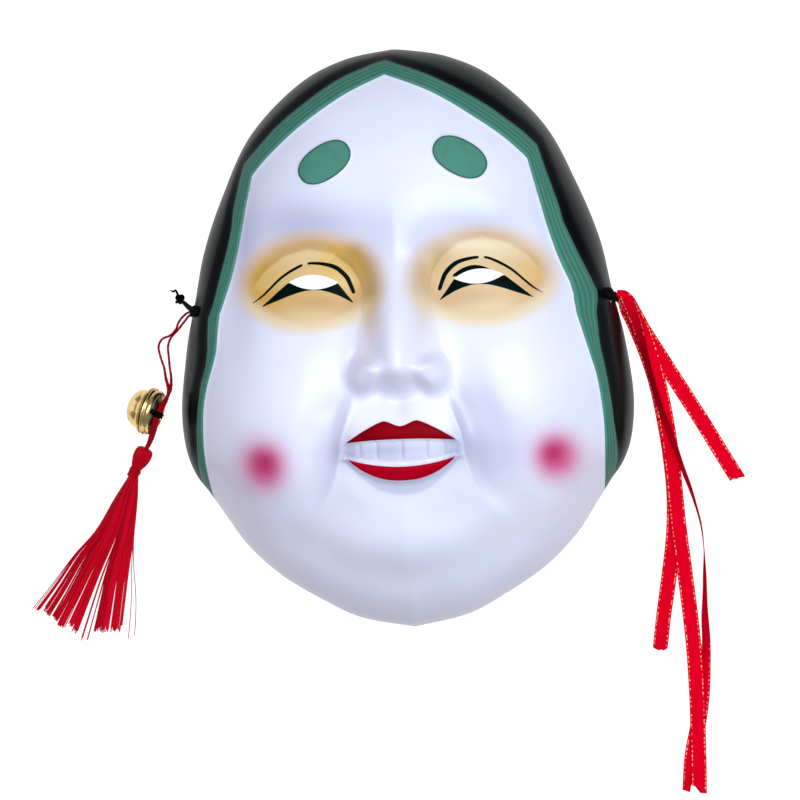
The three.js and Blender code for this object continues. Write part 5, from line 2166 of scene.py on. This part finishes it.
@dataclass
class Studio:
    """The camera that looks down on the mask, the pale floor and the soft lights."""

    distance: float = 1300.0
    yaw: float = 3.0
    roll: float = 2.0
    target: tuple[float, float, float] = (-2.8, -24.1, 0.0)
    field_width: float = 312.5

    def camera(self) -> Object:
        """The camera at the photograph's viewing angle.

        Returns:
            The camera.
        """
        yaw, roll = math.radians(self.yaw), math.radians(self.roll)
        level = Vector((math.cos(roll), -math.sin(roll), 0))
        up = Vector((math.sin(roll), math.cos(roll), 0))
        back = math.cos(yaw) * Vector((0, 0, 1)) + math.sin(yaw) * level
        right = math.cos(yaw) * level - math.sin(yaw) * Vector((0, 0, 1))
        data = bpy.data.cameras.new("view_from_above")
        data.sensor_fit = "HORIZONTAL"
        data.sensor_width = 36.0
        data.lens = 36.0 * self.distance / self.field_width
        data.clip_start, data.clip_end = 0.05, 20.0
        cam = bpy.data.objects.new("view_from_above", data)
        turn = Matrix((right, up, back)).transposed().to_4x4()
        cam.matrix_world = Matrix.Translation((Vector(self.target) + self.distance * back) * MM) @ turn
        bpy.context.scene.collection.objects.link(cam)
        bpy.context.scene.camera = cam
        return cam

    @staticmethod
    def lamp(name: str, direction: Row, distance: float, size: tuple[float, float], power: float, tint: str) -> None:
        """A soft box that faces the mask from a direction.

        Args:
            name: the lamp's name.
            direction: where it stands, seen from the mask.
            distance: how far off it stands, in metres.
            size: its width and height, in metres.
            power: its power, in watts.
            tint: its colour.
        """
        data = bpy.data.lights.new(name, "AREA")
        data.shape = "RECTANGLE"
        data.size, data.size_y = size
        data.energy = power
        data.color = colour(tint)[:3]
        lamp = bpy.data.objects.new(name, data)
        back = Vector(direction).normalized()
        lamp.location = back * distance
        lamp.rotation_euler = back.to_track_quat("Z", "Y").to_euler()
        bpy.context.scene.collection.objects.link(lamp)

    @staticmethod
    def floor() -> Object:
        """A pale matt floor that glows a little, as a light table does.

        Returns:
            The floor.
        """
        bpy.ops.mesh.primitive_plane_add(size=6.0, location=(0, 0, -0.0004))
        floor = bpy.context.object
        floor.name = "pale_floor"
        material, tree = new_material("matt_white_acrylic_light_table")
        surface(
            tree,
            {
                "Base Color": colour("#6a6a70"),
                "Roughness": 0.9,
                "Emission Color": colour("#ffffff"),
                "Emission Strength": 1.0,
            },
        )
        coat(floor, material)
        floor.visible_diffuse = False
        return floor

    def build(self) -> None:
        """Builds the studio."""
        self.camera()
        self.floor()
        scene = bpy.context.scene
        scene.view_settings.view_transform = "Standard"
        world = bpy.data.worlds.new("studio_air")
        scene.world = world
        world.use_nodes = True
        world.node_tree.nodes["Background"].inputs[0].default_value = colour("#f0f2fa")
        world.node_tree.nodes["Background"].inputs[1].default_value = 0.34
        self.lamp("overhead", (0.27, 0.04, 1.0), 0.76, (0.36, 0.55), 4.9, "#ecfbff")
        self.lamp("key_right", (0.8, 0.05, 1.0), 1.6, (0.25, 1.1), 2.4, "#f2fbff")
        self.lamp("panel_left", (-1.0, 0.35, 0.35), 1.2, (1.1, 0.8), 3.0, "#f7f7ff")


def main() -> None:
    """Builds the studio, then the ribbons, the elastic, the bell, the tassel, the cords and the shell, and reports each
    piece.
    """
    logging.basicConfig(level=logging.INFO, format="%(name)s: %(message)s")
    select_only()
    Studio().build()
    pieces = [*RibbonBunch().build(), *Elastic().build()]
    hung = [*Bell().build(), *Tassel().build()]
    pieces += [*BellCord().build(hung), *hung, *MaskShell().build()]
    for piece in pieces:
        piece.data.calc_loop_triangles()
        log.info("%s: %d triangles", piece.name, len(piece.data.loop_triangles))


if __name__ == "__main__":
    main()
